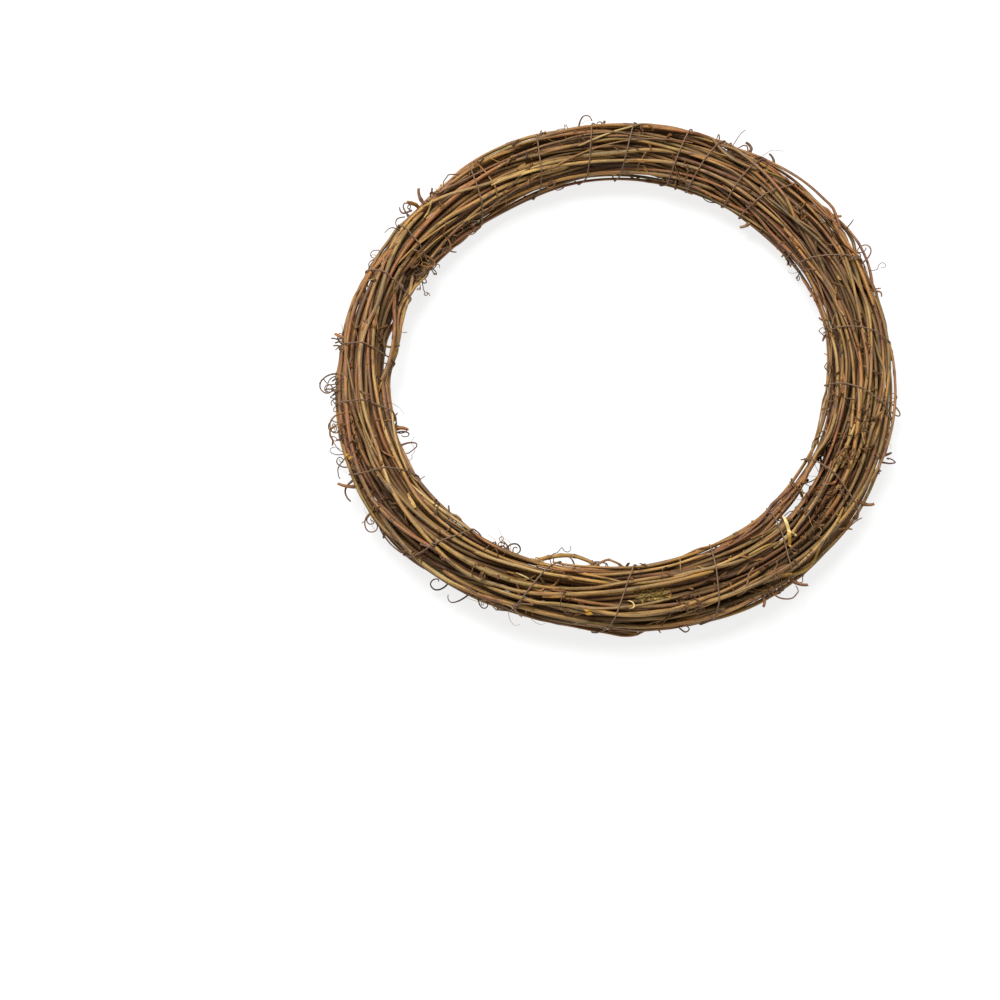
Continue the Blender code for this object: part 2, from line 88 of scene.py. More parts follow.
ahead = np.array((0.0, np.cos(ELEVATION), -np.sin(ELEVATION)))
level = np.array((1.0, 0.0, 0.0))
upright = np.cross(level, ahead)
right = level * np.cos(ROLL) + upright * np.sin(ROLL)
up = upright * np.cos(ROLL) - level * np.sin(ROLL)
camera = bpy.data.objects.new("camera", bpy.data.cameras.new("camera"))
camera.data.lens, camera.data.sensor_width = LENS, SENSOR
camera.data.clip_end = 100
camera.matrix_world = Matrix.LocRotScale(Vector(aim - ahead * DISTANCE),
                                         Matrix(np.stack([right, up, -ahead], 1)), None)
bpy.context.scene.collection.objects.link(camera)
bpy.context.scene.camera = camera
print("camera at", [round(value, 3) for value in camera.matrix_world.translation])

# %% Light and the way colours are shown
SKY = 0.33
scene = bpy.context.scene
scene.view_settings.view_transform = "Standard"
scene.world = bpy.data.worlds.new("light tent")
scene.world.use_nodes = True
sky = scene.world.node_tree.nodes["Background"].inputs
sky["Color"].default_value = (1, 1, 1, 1)
sky["Strength"].default_value = SKY


def lamp(name, place, aim_at, power, size):
    """A square lamp that shines from a place towards a point."""
    light = bpy.data.lights.new(name, "AREA")
    light.energy, light.size = power, size
    holder = bpy.data.objects.new(name, light)
    direction = Vector(aim_at) - Vector(place)
    holder.matrix_world = Matrix.LocRotScale(Vector(place), direction.to_track_quat("-Z", "Y"), None)
    scene.collection.objects.link(holder)


lamp("main lamp", (-0.3, 0.65, 1.7), (0, 0, 0), 45, 1.0)

# %% [markdown]
# ## Laying the vines
#
# A real wreath is wound by hand: each vine goes round two or three times and slips in wherever there is
# room. The solid model lays its vines with a seeded rule, and the same rule is repeated here, so that the
# fine stems follow the solid ones. Each lap is a point in the bundle's section, given at 30 stations round
# the ring, and the laps are pressed apart until none touch.

# %% Sizes of the bundle, as in the solid model
RING_RADIUS, VINE_RADIUS, VINE_GAP = 0.135, 0.00175, 0.00036
HALF_WIDTHS = MM * np.array((15.9, 17.0, 15.7, 14.3, 16.2, 13.0, 14.0, 16.7, 14.6, 17.8, 18.6, 20.0))
STRAYS = MM * np.array((-0.8, 0.8, 0.5, 0.3, -1.6, -1.6, 0.0, 2.2, -1.6, -4.9, -1.3, 0.0))
ROUND_HALF, HALF_HEIGHT, FLAT_UNDERSIDE = 0.0161, 0.0155, 0.88
LAYERS = ((3, 1, 0.14), (8, 1, 0.40), (11, -1, 0.64), (13, 1, 0.86), (4, -1, 1.0))
LAPS_IN_A_VINE, STATIONS, END_REACH, SEED = 2.6, 30, 0.36, 11
SETTLED = MM * np.array((2.157, -3.482, 1.273))  # the solid model's last move, which centres it


def unit(angle):
    """The direction (cos, sin) of each angle."""
    return np.stack([np.cos(angle), np.sin(angle)], -1)


def outward_at(angle, side):
    """World directions out of the bundle at ring angles and section directions."""
    return np.stack([np.cos(side) * np.cos(angle), np.cos(side) * np.sin(angle), np.sin(side)], -1)


def around(values, angle):
    """The smooth curve round the ring through values at equal angles: a short Fourier sum."""
    count = len(values)
    waves = np.fft.rfft(values) / count
    order = np.arange(len(waves))
    share = np.where((order == 0) | (order == count / 2), 1, 2)
    return (share * waves * np.exp(1j * np.multiply.outer(angle, order))).sum(-1).real


def station_at(angle, count):
    """Of so many stations round the ring, the one before each angle, and the share of the way to the next."""
    spot = np.mod(angle, TURN) / TURN * count
    whole = np.floor(spot).astype(int)
    return whole % count, spot - whole


def half_sizes(angle):
    """Half the width and half the height of the bundle at an angle; a wider bundle lies lower."""
    width = around(HALF_WIDTHS, angle)
    return width, HALF_HEIGHT * np.sqrt(ROUND_HALF / width)


def place(offset, angle):
    """World points for section offsets (outward, up) at angles round the ring."""
    out = RING_RADIUS + around(STRAYS, angle) + offset[..., 0]
    height = offset[..., 1] + FLAT_UNDERSIDE * half_sizes(angle)[1]
    return np.stack([out * np.cos(angle), out * np.sin(angle), height], -1) + SETTLED


def waves(rng, angle, orders, size):
    """Seeded smooth noise round the ring: a cosine of each order, the faster the weaker."""
    total = 0
    for order in orders:
        strength = rng.normal(size=size)[..., None] / order
        phase = rng.uniform(0, TURN, size)[..., None]
        total = total + strength * np.cos(order * angle + phase)
    return total


# %% The laps of the solid model
class Bundle:
    """Every lap as offsets in the section at each station. A lap's end joins the lap that follows it."""

    def __init__(self):
        rng = np.random.default_rng(SEED)
        self.angle = np.arange(STATIONS) * TURN / STATIONS
        slots, outs, self.following, self.layer = [], [], [], []
        for number, (laps, moved, out) in enumerate(LAYERS):
            first = len(slots)
            swirl = waves(rng, self.angle, (1, 2, 3), ()) * 1.2
            for lap in range(laps):
                slots.append(TURN * (lap + moved * self.angle / TURN) / laps + swirl)
                outs.append(out)
                self.following.append(first + (lap + moved) % laps)
                self.layer.append(number)
        self.following = np.array(self.following)
        self.leading = np.argsort(self.following)
        slots, outs = np.array(slots), np.array(outs)[:, None]
        count = len(slots)
        width, height = half_sizes(self.angle)
        self.room = np.stack([width - VINE_RADIUS, height - VINE_RADIUS], -1)
        self.floor = FLAT_UNDERSIDE * height
        self.offset = unit(slots) * outs[..., None] * self.room
        radius = np.full((count, STATIONS), VINE_RADIUS) * rng.uniform(0.85, 1.15, (count, 1))
        self.radius = (radius + self.after(radius) + self.before(radius)) / 3
        stray = np.stack([waves(rng, self.angle, (1, 2, 3, 4), (count,)) for _ in range(2)], -1)
        self.wish = self.offset + stray * np.sqrt(np.sin(self.angle / 2))[None, :, None] * 0.0016
        for steps, smooth, pull, squeeze in ((200, 0.10, 0.02, 0.5), (300, 0.05, 0.0, 0.3), (500, 0, 0, 0.1)):
            self.press(steps, smooth, pull, squeeze)

    def after(self, values):
        """The value one station further along each lap."""
        shifted = np.roll(values, -1, 1)
        shifted[:, -1] = values[self.following, 0]
        return shifted

    def before(self, values):
        """The value one station back along each lap."""
        shifted = np.roll(values, 1, 1)
        shifted[:, 0] = values[self.leading, -1]
        return shifted

    def closest(self):
        """Where each pair of laps comes nearest between two stations, and the air left there."""
        start = self.offset[:, None] - self.offset[None]
        change = self.after(self.offset)[:, None] - self.after(self.offset)[None] - start
        share = np.clip(-(start * change).sum(-1) / ((change ** 2).sum(-1) + 1e-12), 0, 1)
        apart = start + change * share[..., None]
        size = self.radius[:, None] + self.radius[None]
        size = size + (self.after(self.radius)[:, None] + self.after(self.radius)[None] - size) * share
        air = np.sqrt((apart ** 2).sum(-1)) - size
        itself = np.arange(len(self.offset))
        air[itself, itself] = 1
        return share, apart, air

    def press(self, steps, smooth, pull, squeeze):
        """Move overlapping laps apart in the section while the bundle is squeezed to its outline."""
        for _ in range(steps):
            share, apart, air = self.closest()
            distance = np.sqrt((apart ** 2).sum(-1)) + 1e-9
            push = (np.maximum(VINE_GAP - air, 0) * 0.3 / distance)[..., None] * apart
            here = (push * (1 - share)[..., None]).sum(1)
            self.offset = self.offset + here + self.before((push * share[..., None]).sum(1))
            reach = np.sqrt(((self.offset / self.room) ** 2).sum(-1, keepdims=True))
            self.offset += (self.offset / np.maximum(reach, 1) - self.offset) * squeeze
            self.offset += smooth * ((self.after(self.offset) + self.before(self.offset)) / 2 - self.offset)
            self.offset += pull * (self.wish - self.offset)
            self.offset[..., 1] = np.maximum(self.offset[..., 1], self.radius - self.floor)

    def at(self, angle):
        """Offsets and radii of all laps at any angles, straight between two stations."""
        whole, share = station_at(angle, STATIONS)
        share = share[..., None]
        size = self.radius.T[whole] * (1 - share) + self.after(self.radius).T[whole] * share
        here, ahead = (np.moveaxis(values, 0, 1)[whole] for values in (self.offset, self.after(self.offset)))
        return here * (1 - share[..., None]) + ahead * share[..., None], size


def laps_in_order(layer):
    """The laps of a layer in the order in which its winding passes through them."""
    order, lap = [], bundle.layer.index(layer)
    for _ in range(LAYERS[layer][0]):
        order.append(lap)
        lap = bundle.following[lap]
    return order


def vine_runs():
    """Cut each layer's winding into vines, as (layer, first station along it, the station after the last)."""
    rng = np.random.default_rng(SEED + 1)
    runs = []
    for number, (laps, _moved, _out) in enumerate(LAYERS):
        total = laps * STATIONS
        vines = max(1, round(laps / LAPS_IN_A_VINE))
        first = rng.integers(STATIONS)
        cuts = [first + round(total * vine / vines) + rng.integers(-4, 5) for vine in range(vines)]
        cuts.append(cuts[0] + total)
        runs += [(number, start, end) for start, end in zip(cuts[:-1], cuts[1:])]
    return runs


bundle = Bundle()
runs = vine_runs()
print(len(bundle.layer), "laps in", len(runs), "vines")

# %% [markdown]
# ## Two thin stems for each thick lap
#
# A solid vine is as thick as one and a half real stems. Here each becomes two thin ones that turn slowly
# about each other and wander, so that they pass over and under their neighbours. Their places are worked
# out at 120 stations, and wherever two come too close they push each other apart. Only near neighbours are
# compared, from a list that is made anew from time to time, which keeps it quick.

# %% Fine windings
FINE = 120                      # stations for the thin stems
STEM_RADIUS = 1.17 * MM
APART = 0.98 * MM               # each thin stem from the middle of its pair
DRAWN_IN = 1.5 * MM             # room left for the stems that are laid on top
# Every 30° round the ring: more room on the inner and the outer side, a share of the thickness, and how much
# paler or darker the stems are.
INNER_DRAWN = MM * np.array((2.6, 1.0, 0.5, 2.6, 1.0, 0.5, 2.2, 3.2, 4.2, 2.5, 0.5, 1.0))
OUTER_DRAWN = MM * np.array((0.8, -2.4, -2, 0, 2.8, 2.6, 0.8, 0, 0, 0, 2.2, 1.5))
SLENDER = np.array((0.84, 0.84, 0.88, 0.94, 0.97, 1, 1, 1, 1, 1, 0.97, 0.88))
TONE_SHIFT = np.array((-0.05, -0.14, -0.07, 0.03, -0.02, -0.1, -0.03, 0, 0.03, 0.04, 0.03, 0.02))
WANDER = 1.15 * MM
CLEARANCE = 0.08 * MM
rng = np.random.default_rng(SEED + 2)


def through(values, spots, closed=True):
    """Catmull-Rom: the smooth curve through values at whole numbers, read at any spots."""
    whole = np.floor(spots).astype(int)
    if not closed:
        whole = np.minimum(whole, len(values) - 2)
    t = (spots - whole)[..., None]
    near = (whole + step for step in (-1, 0, 1, 2))
    near = (spot % len(values) if closed else np.clip(spot, 0, len(values) - 1) for spot in near)
    a, b, c, d = (values[spot] for spot in near)
    return b + 0.5 * t * (c - a + t * (2 * a - 5 * b + 4 * c - d + t * (3 * (b - c) + d - a)))


def even_out(line, rounds):
    """Even out a line between its ends: each value becomes (before + 2 itself + after) / 4, so many times."""
    for _ in range(rounds):
        line[1:-1] = (line[:-2] + 2 * line[1:-1] + line[2:]) / 4


def fine_windings():
    """For each layer and each of its two strands: wished offsets all along, as (strand, lap, station, 2)."""
    made = []
    for number, (laps, _moved, _out) in enumerate(LAYERS):
        coarse = bundle.offset[laps_in_order(number)].reshape(-1, 2)
        turn = np.arange(laps * FINE) / FINE
        middle = through(coarse, turn * STATIONS)
        room = np.stack(half_sizes(turn * TURN), -1) - VINE_RADIUS
        middle = middle * (1 - DRAWN_IN / room)
        twist = TURN * (turn * max(1, round(laps * 0.8)) / laps + rng.uniform())
        for strand in (0, 1):
            angle = twist + np.pi * strand
            wish = middle + APART * unit(angle)
            for _ in range(9):
                order_here = rng.integers(int(laps * 0.8), laps * 6 + 1)
                phase = rng.uniform(0, TURN, 2)
                size = WANDER * rng.normal(size=2) * 0.62
                wish = wish + size * np.cos(TURN * order_here * turn[:, None] / laps + phase)
            made.append(wish.reshape(laps, FINE, 2))
    return made


wishes = fine_windings()
strand_first = np.cumsum([0] + [len(wish) for wish in wishes])
wish = np.concatenate(wishes)       # (stems, stations, 2)
following = np.concatenate([first + np.roll(np.arange(len(laps)), -1)
                            for first, laps in zip(strand_first, wishes)])
leading = np.argsort(following)
stem_radius = np.concatenate([np.full(len(laps), STEM_RADIUS * rng.uniform(0.84, 1.18)) for laps in wishes])
stem_radius = stem_radius * rng.uniform(0.94, 1.06, len(stem_radius))
fine_angle = np.arange(FINE) * TURN / FINE
fine_floor = -FLAT_UNDERSIDE * half_sizes(fine_angle)[1] - 0.45 * MM
print(len(wish), "thin laps at", FINE, "stations")

# %% Slits between the stems
# In places the floor shows through a slit between the stems, as the picture is taken steeply but not straight
# down: first and last ring angle, place across the section, half width, and how far all beyond is moved away.
SLITS = ((154, 162, 9.3, 0.25, 0.0), (163, 181, -11.0, 0.2, -2.3), (194, 203, 3.8, 0.35, 0.0),
         (204, 213, 9.5, 0.35, 0.0), (306, 315, -4.0, 0.3, 0.0), (315, 323, -7.4, 0.25, 0.0),
         (310, 337, -11.6, 1.0, -0.9), (323, 337, -13.4, 0.3, -0.3), (240, 256, 6.0, 0.2, 0.0))


def sight_lean(angle):
    """How far inward the camera's line of sight moves for each step up, at angles round the ring."""
    eye = aim - ahead * DISTANCE
    return (RING_RADIUS + unit(angle) @ (SETTLED[:2] - eye[:2])) / eye[2]


def slit_sides(offset, angle):
    """For each slit: how open it is at each angle, a smooth swell, and how far each stem is beyond it."""
    degrees = np.mod(np.degrees(angle), 360)
    for start, end, middle, half, spread in SLITS:
        swell = np.sin(np.pi * np.clip((degrees - start) / (end - start), 0, 1)) ** 1.2
        beyond = offset[..., 0] - middle * MM + sight_lean(angle) * offset[..., 1]
        yield swell, beyond, half * MM, spread * MM


def clear_slits(offset, angle, radius, share=1.0):
    """Move each stem that is in a slit to the side where most of it is, or a share of the way there."""
    for swell, beyond, half, _spread in slit_sides(offset, angle):
        side = np.sign(np.nansum(beyond * swell, -1, keepdims=True))
        short = np.maximum(radius + half - beyond * side, 0)
        offset[..., 0] += side * short * share * np.minimum(1.6 * swell, 1)


print(len(SLITS), "slits")

# %% Settle the thin stems
NEIGHBOUR_REACH = 4.2 * MM      # stems further apart than this aren't compared
PUSHED, SMOOTHED, WISHED, PRESSED = 0.36, 0.16, 0.03, 0.3      # shares of each move in one step


def near_pairs(offset, reach):
    """Every pair of stems that is closer than a reach at a station: first stem, second stem, station."""
    gap = np.linalg.norm(offset[:, None] - offset[None], axis=-1)
    first, second, station = np.nonzero(gap < reach)
    keep = first < second
    return first[keep], second[keep], station[keep]


def settle(offset, radius, steps):
    """Push close stems apart, keep them smooth along their length and near where they wish to be."""
    count = len(offset)
    inner, outer = around(INNER_DRAWN, fine_angle), around(OUTER_DRAWN, fine_angle)
    outline = np.stack(half_sizes(fine_angle), -1) - DRAWN_IN
    outline[:, 0] -= (inner + outer) / 2
    middle = np.stack([(inner - outer) / 2, 0 * inner], -1)
    for step in range(steps):
        if step % 20 == 0:
            first, second, station = near_pairs(offset, NEIGHBOUR_REACH)
            least = radius[first] + radius[second] + CLEARANCE
        apart = offset[first, station] - offset[second, station]
        distance = np.linalg.norm(apart, axis=-1) + 1e-9
        push = (np.maximum(least - distance, 0) * PUSHED / distance)[:, None] * apart
        spots = np.concatenate([first * FINE + station, second * FINE + station])
        moves = np.concatenate([push, -push])
        for axis in (0, 1):
            total = np.bincount(spots, moves[:, axis], count * FINE)
            offset[..., axis] += total.reshape(count, FINE)
        ahead = np.roll(offset, -1, 1)
        ahead[:, -1] = offset[following, 0]
        behind = np.roll(offset, 1, 1)
        behind[:, 0] = offset[leading, -1]
        late = step / steps
        offset += SMOOTHED * ((ahead + behind) / 2 - offset) + WISHED * (1 - late) * (wish - offset)
        beside = (offset - middle) / (outline - radius[:, None, None])
        reach = np.sqrt((beside ** 2).sum(-1, keepdims=True))
        offset += (offset - middle) * (1 / np.maximum(reach, 1) - 1) * PRESSED
        clear_slits(offset, fine_angle, radius[:, None], 0.5)
        offset[..., 1] = np.maximum(offset[..., 1], fine_floor + radius[:, None])
    return offset


stem_offset = settle(wish.copy(), stem_radius, 140)
print(len(stem_offset), "thin laps")

# %% [markdown]
# ## Stems laid on top
#
# The last vines of a real wreath lie loosely over the others and cross them at a slant. Each is given a way
# round the bundle, and at every station it lies on whatever is highest there, as a ball rests between
# others. A stem is stiff, so it bridges the hollows: the line is raised until no point is lower than the
# middle of its two neighbours, within limits. Its two ends are tucked in or spring up a little.

# %% How a stem is laid on top
TUCK, SPRING = 2.6 * MM, 1.3 * MM       # how far an end goes in, or springs up at most
END_FADE = 1.6                          # in stations, how quickly an end's move fades
MOST_BRIDGED, MOST_SUNK = 1.9 * MM, 0.4 * MM
SOFTEN = (0.06, 0.13, 0.2, 0.22, 0.2, 0.13, 0.06)   # shares of the neighbours in a softened line

laid_offset = [lap for lap in stem_offset]          # (FINE, 2) each, not a number where a stem isn't there
laid_radius = [np.full(FINE, value) for value in stem_radius]


def highest(angle_index, side, radius):
    """How far out a new stem's middle must lie to clear all others, at stations and section directions."""
    offset = np.stack(laid_offset, 1)[angle_index]
    sizes = np.stack(laid_radius, 1)[angle_index] + radius + CLEARANCE
    out = unit(side)[:, None]
    forward = (offset * out).sum(-1)
    across = offset[..., 0] * out[..., 1] - offset[..., 1] * out[..., 0]
    reach = forward + np.sqrt(np.maximum(sizes ** 2 - across ** 2, 0))
    return np.where(np.abs(across) < sizes, reach, 0).max(1)


def lay_on_top(start, length, side, radius, first_end, last_end, bow=0.0):
    """A stem along the top of all that is laid: its offsets at stations from start, for a length of stations.

    A bow lifts it clear in the middle, by bow sin(pi share of the way).
    """
    index = (start + np.arange(length)) % FINE
    need = np.nan_to_num(highest(index, side, radius))
    out = need.copy()
    for _ in range(40):
        out[1:-1] = np.maximum(need[1:-1], (out[2:] + out[:-2]) / 2)
        out = np.minimum(out, need + MOST_BRIDGED)
    soft = np.convolve(np.pad(out, 3, "edge"), SOFTEN, "valid")
    out = np.maximum(out - MOST_SUNK, soft)
    spot = np.arange(length)
    fade = np.exp(-spot / END_FADE) * first_end + np.exp(-spot[::-1] / END_FADE) * last_end
    out = out + fade + bow * np.sin(np.pi * spot / (length - 1))
    offset = out[:, None] * unit(side)
    offset[:, 1] = np.maximum(offset[:, 1], fine_floor[index] + radius)
    return index, offset


def lay(start, length, side, radius, first_end, last_end):
    """Lay one stem and remember it, so that the next ones lie on it too. Gives its start and offsets."""
    index, offset = lay_on_top(start, length, side, radius, first_end, last_end)
    lap, sizes = np.full((FINE, 2), np.nan), np.full(FINE, np.nan)
    lap[index], sizes[index] = offset, radius
    laid_offset.append(lap)
    laid_radius.append(sizes)
    return start, offset


GOLDEN = 0.618     # steps of this share of a turn spread any number of stems evenly


def lay_many(rng, count, share, slant, thickness, sway_size):
    """Lay seeded stems: a share of the ring long, so much turn about the bundle, so thick."""
    laid = []
    for number in range(count):
        length = int(FINE * rng.uniform(*share))
        start = int(rng.integers(FINE))
        step = np.arange(length) * TURN / FINE
        side = TURN * (number * GOLDEN + rng.uniform(-0.06, 0.06))
        side = side + rng.choice((-1, 1)) * rng.uniform(*slant) * step
        for order in (1, 2, 3):
            side = side + rng.normal() * sway_size / order * np.cos(order * 2.1 * step + rng.uniform(0, TURN))
        radius = STEM_RADIUS * rng.uniform(*thickness)
        ends = [SPRING * rng.uniform(0.3, 1) if rng.uniform() < 0.4 else -TUCK for _ in range(2)]
        laid.append((*lay(start, length, side, radius, *ends), radius, rng.uniform(0.15, 0.95)))
    return laid


# %% Stems that catch the eye in the picture, in the order in which they lie
# Thickness, tone, and the way as ring angle and section direction, over and over. The direction is 0 outward
# and 90 on top.
GUIDES = (
    (1.05, 0.82, 142, 80, 151, 87, 165, 103, 172, 90, 179, 88, 191, 90, 202, 96, 208, 85, 217, 78, 223, 73,
     228, 66, 232, 57, 237, 53, 244, 56, 250, 61, 258, 71, 267, 83, 272, 90, 288, 97),
    (0.9, 0.86, 168, 104, 172, 106, 181, 115, 192, 120, 205, 121, 209, 121, 215, 113, 220, 115, 231, 117,
     239, 119, 248, 118, 256, 125, 265, 131, 275, 137, 284, 140, 291, 153),
    (1, 0.44, 171, 50, 182, 56, 193, 51, 199, 44, 206, 40, 212, 41, 216, 48, 221, 54, 225, 62),
    (1.05, 0.6, 194, 65, 198, 74, 205, 76, 208, 75, 210, 81),
    (1, 0.8, 146, 172, 152, 172, 158, 172, 161, 172),
    (0.85, 0.8, 162, 168, 168, 170, 172, 168, 177, 160, 180, 154, 184, 138),
    (1, 0.5, 149, 66, 157, 62, 163, 54, 170, 55, 179, 57),
    (0.85, 0.86, 152, 160, 158, 168, 162, 170, 166, 170),
    (0.85, 0.95, 91, 136, 101, 126, 113, 123, 123, 110, 132, 84, 138, 73, 146, 75),
    (1.2, 0.8, 102, 148, 106, 144, 118, 133, 125, 135, 136, 118, 147, 112),
    (0.8, 0.9, 96, 165, 106, 158, 117, 146, 124, 147, 132, 158, 138, 160, 143, 166),
    (1.1, 0.46, 91, 74, 100, 74, 111, 63, 119, 48, 126, 0, 133, 0),
    (1.15, 0.5, 60, 0, 68, 50, 79, 63, 88, 65, 102, 68),
    (1, 0.58, 55, 86, 66, 98, 75, 100, 85, 89, 95, 101, 103, 98),
    (0.95, 0.88, 39, 129, 43, 132, 48, 129, 54, 125, 61, 122, 71, 126, 84, 139, 94, 139, 104, 131, 117,
     119), (1.2, 0.7, 76, 105, 87, 123, 95, 124),
    (1, 0.72, 64, 157, 82, 172, 89, 172, 101, 172, 112, 172, 120, 172),
    (0.85, 0.8, 33, 81, 36, 94, 39, 107, 43, 111, 47, 112, 50, 107, 55, 99, 58, 96, 61, 98, 66, 101),
    (0.9, 0.5, 48, 168, 55, 170, 59, 170, 66, 165),
    (1, 0.45, 18, 168, 23, 159, 27, 158, 31, 159, 37, 170, 42, 168, 48, 152),
    (0.9, 0.3, 22, 85, 27, 91, 33, 99, 38, 107, 45, 106),
    (1.25, 0.6, 13, 114, 17, 120, 22, 127, 26, 131, 31, 131, 35, 132),
    (0.95, 0.7, 11, 80, 15, 79, 19, 79, 23, 72, 28, 65, 32, 70, 36, 62),
    (0.9, 0.66, 22, 12, 24, 40, 27, 60, 31, 51, 38, 10), (0.85, 0.9, 45, 0, 51, 62, 58, 80, 63, 69, 69, 0),
    (0.9, 0.82, 284, 106, 289, 102, 294, 98, 299, 95, 304, 98, 309, 96),
    (1, 0.7, 339, 97, 344, 102, 350, 107, 356, 110, 361, 112, 366, 119, 371, 121, 376, 124, 381, 127, 387,
     136, 392, 136),
    (1, 0.84, 340, 164, 344, 154, 347, 150, 351, 150, 357, 151, 362, 154, 365, 155, 371, 166, 377, 168, 379,
     159, 384, 159), (0.95, 0.68, 345, 72, 349, 74, 354, 74, 359, 71, 364, 70, 369, 63, 374, 60, 379, 69),
    (0.8, 0.6, 352, 125, 358, 122, 363, 125, 367, 132, 373, 133),
    (0.95, 0.7, 358, 80, 362, 83, 366, 90, 369, 85, 374, 84, 380, 76, 386, 62),
    (1, 0.74, 342, 33, 348, 34, 354, 29, 360, 22, 366, 20, 372, 14, 376, 10),
    (1, 0.5, 347, 47, 352, 42, 359, 33, 364, 37, 369, 36, 375, 29),
    (0.8, 0.84, 345, 52, 349, 43, 353, 34, 357, 38, 361, 47, 365, 52),
    (1.3, 0.6, 330, 72, 334, 77, 341, 88, 346, 91, 351, 94, 356, 93, 360, 98),
    (1.1, 0.88, 309, 88, 313, 94, 318, 99, 326, 102, 333, 100, 340, 94),
    (1, 0.6, 328, 148, 337, 143, 343, 143), (0.9, 0.82, 303, 31, 308, 34, 314, 42, 322, 40),
    (1, 0.9, 290, 9, 295, 5, 301, 13), (1.1, 0.34, 297, 159, 304, 172, 311, 168, 317, 152, 325, 151),
    (0.9, 0.84, 237, 98, 241, 100, 245, 103, 250, 101, 259, 104, 264, 103),
    (1.03, 0.67, 229, 77, 235, 74, 242, 72, 250, 74, 257, 81, 267, 96, 274, 107, 290, 132),
    (1, 0.72, 244, 48, 257, 55, 263, 53, 271, 43, 279, 47, 286, 54),
    (1.1, 0.76, 213, 30, 220, 21, 226, 12, 230, 14, 236, 18, 240, 20, 246, 32, 257, 27, 264, 21, 273, 8,
     281, 8, 286, 8, 293, 15),
    (1, 0.27, 185, 150, 189, 143, 195, 145, 203, 150, 212, 156, 219, 170, 230, 134, 239, 129, 248, 133),
    (0.9, 0.84, 214, 133, 222, 136, 229, 138))
print(len(GUIDES), "ways given by hand")

# %% Lay the top stems one after another
# Stems that stand clear of the others: first and last ring angle, section direction, and how high in mm
RAISED = ((24, 36, 4, 4.4), (36, 54, 24, 2.6), (46, 64, 12, 1.2), (196, 214, 8, 2.2), (310, 330, 160, 2.0),
          (100, 122, 20, 1.8), (336, 356, 20, 1.8))
LOWEST, GUIDE_SLENDER, GUIDE_TUCK = 8, 0.94, 1.7 * MM   # LOWEST keeps a guide above the bundle's widest line

rng = np.random.default_rng(SEED + 3)
top_stems = lay_many(rng, 24, (0.25, 0.8), (0.05, 0.5), (0.72, 1.0), 0.16)
for thickness, tone, *way in GUIDES:
    ring, about = np.array(way[::2], float), np.clip(way[1::2], LOWEST, 180 - LOWEST)
    start, stop = round(ring[0] * FINE / 360) - 1, round(ring[-1] * FINE / 360) + 1
    side = np.interp(np.arange(start, stop + 1) * 360 / FINE, ring, about)
    even_out(side, 2)
    radius = STEM_RADIUS * thickness * GUIDE_SLENDER
    laid = lay(start, len(side), np.radians(side), radius, -GUIDE_TUCK, -GUIDE_TUCK)
    top_stems.append((*laid, radius, tone))
for first, last, side, bow in RAISED:
    start, length = round(first * FINE / 360) - 3, round((last - first) * FINE / 360) + 7
    radius = STEM_RADIUS * rng.uniform(0.74, 0.95)
    side = np.radians(np.full(length, float(side)))
    _, offset = lay_on_top(start, length, side, radius, -TUCK, -TUCK, bow * MM)
    top_stems.append((start, offset, radius, rng.uniform(0.25, 0.7)))
twigs = lay_many(rng, 54, (0.05, 0.22), (0.1, 1.1), (0.38, 0.68), 0.3)
print(len(top_stems), "stems and", len(twigs), "twigs on top,",
      round(sum(len(stem[1]) for stem in top_stems + twigs) / FINE, 1), "laps long")

# %% Open the slits
def opened(offset, angle, radius):
    """Section offsets with no stem in a slit and all beyond one moved away from it."""
    moved = offset.copy()
    clear_slits(moved, angle, radius)
    for swell, beyond, _half, spread in slit_sides(moved, angle):
        moved[..., 0] += spread * swell * (beyond * spread > 0)
    return moved


stem_offset = opened(stem_offset, fine_angle, stem_radius[:, None])
laid_offset = [opened(lap, fine_angle, size) for lap, size in zip(laid_offset, laid_radius)]
for laid in (top_stems, twigs):
    laid[:] = [(start, opened(offset, (start + np.arange(len(offset))) * TURN / FINE, radius), radius, tone)
               for start, offset, radius, tone in laid]

# %% The tight skin round everything
LEAST_SLANT = 0.15      # directions whose cosine is less don't count
FACING = np.arange(72) * TURN / 72
all_offset, all_radius = np.stack(laid_offset, 1), np.stack(laid_radius, 1)
skin_reach = np.nanmax(all_offset @ unit(FACING).T + all_radius[..., None], 1)


def tight(reach, facing, side):
    """Distance out to a taut line round a section, from how far the section reaches in each facing."""
    slant = np.cos(np.asarray(side)[..., None] - facing)
    return np.where(slant > LEAST_SLANT, reach / np.maximum(slant, LEAST_SLANT), np.inf).min(-1)


def skin(angle, side):
    """Distance out to the tight skin round the bundle, at ring angles and section directions."""
    whole, share = station_at(angle, FINE)
    share = share[..., None]
    reach = skin_reach[whole] * (1 - share) + skin_reach[(whole + 1) % FINE] * share
    return tight(reach, FACING, side)


print("skin", [round(float(value) / MM, 1) for value in skin(np.radians((0, 90, 180, 270)), np.zeros(4))])

# %% [markdown]
# ## Tubes from whole arrays
#
# Every stem, tendril and thread is a profile carried along a path. Paths of equal length are worked on
# together: an array of (paths, points, 3). Two directions across each path are needed to place the profile,
# and they are carried along without twist: at each point the last direction has its part along the path
# taken off. Each point of the surface also keeps where it is on the stem, for the bark's pattern: the
# direction round the stem and the length along it, so that the pattern has no seam.

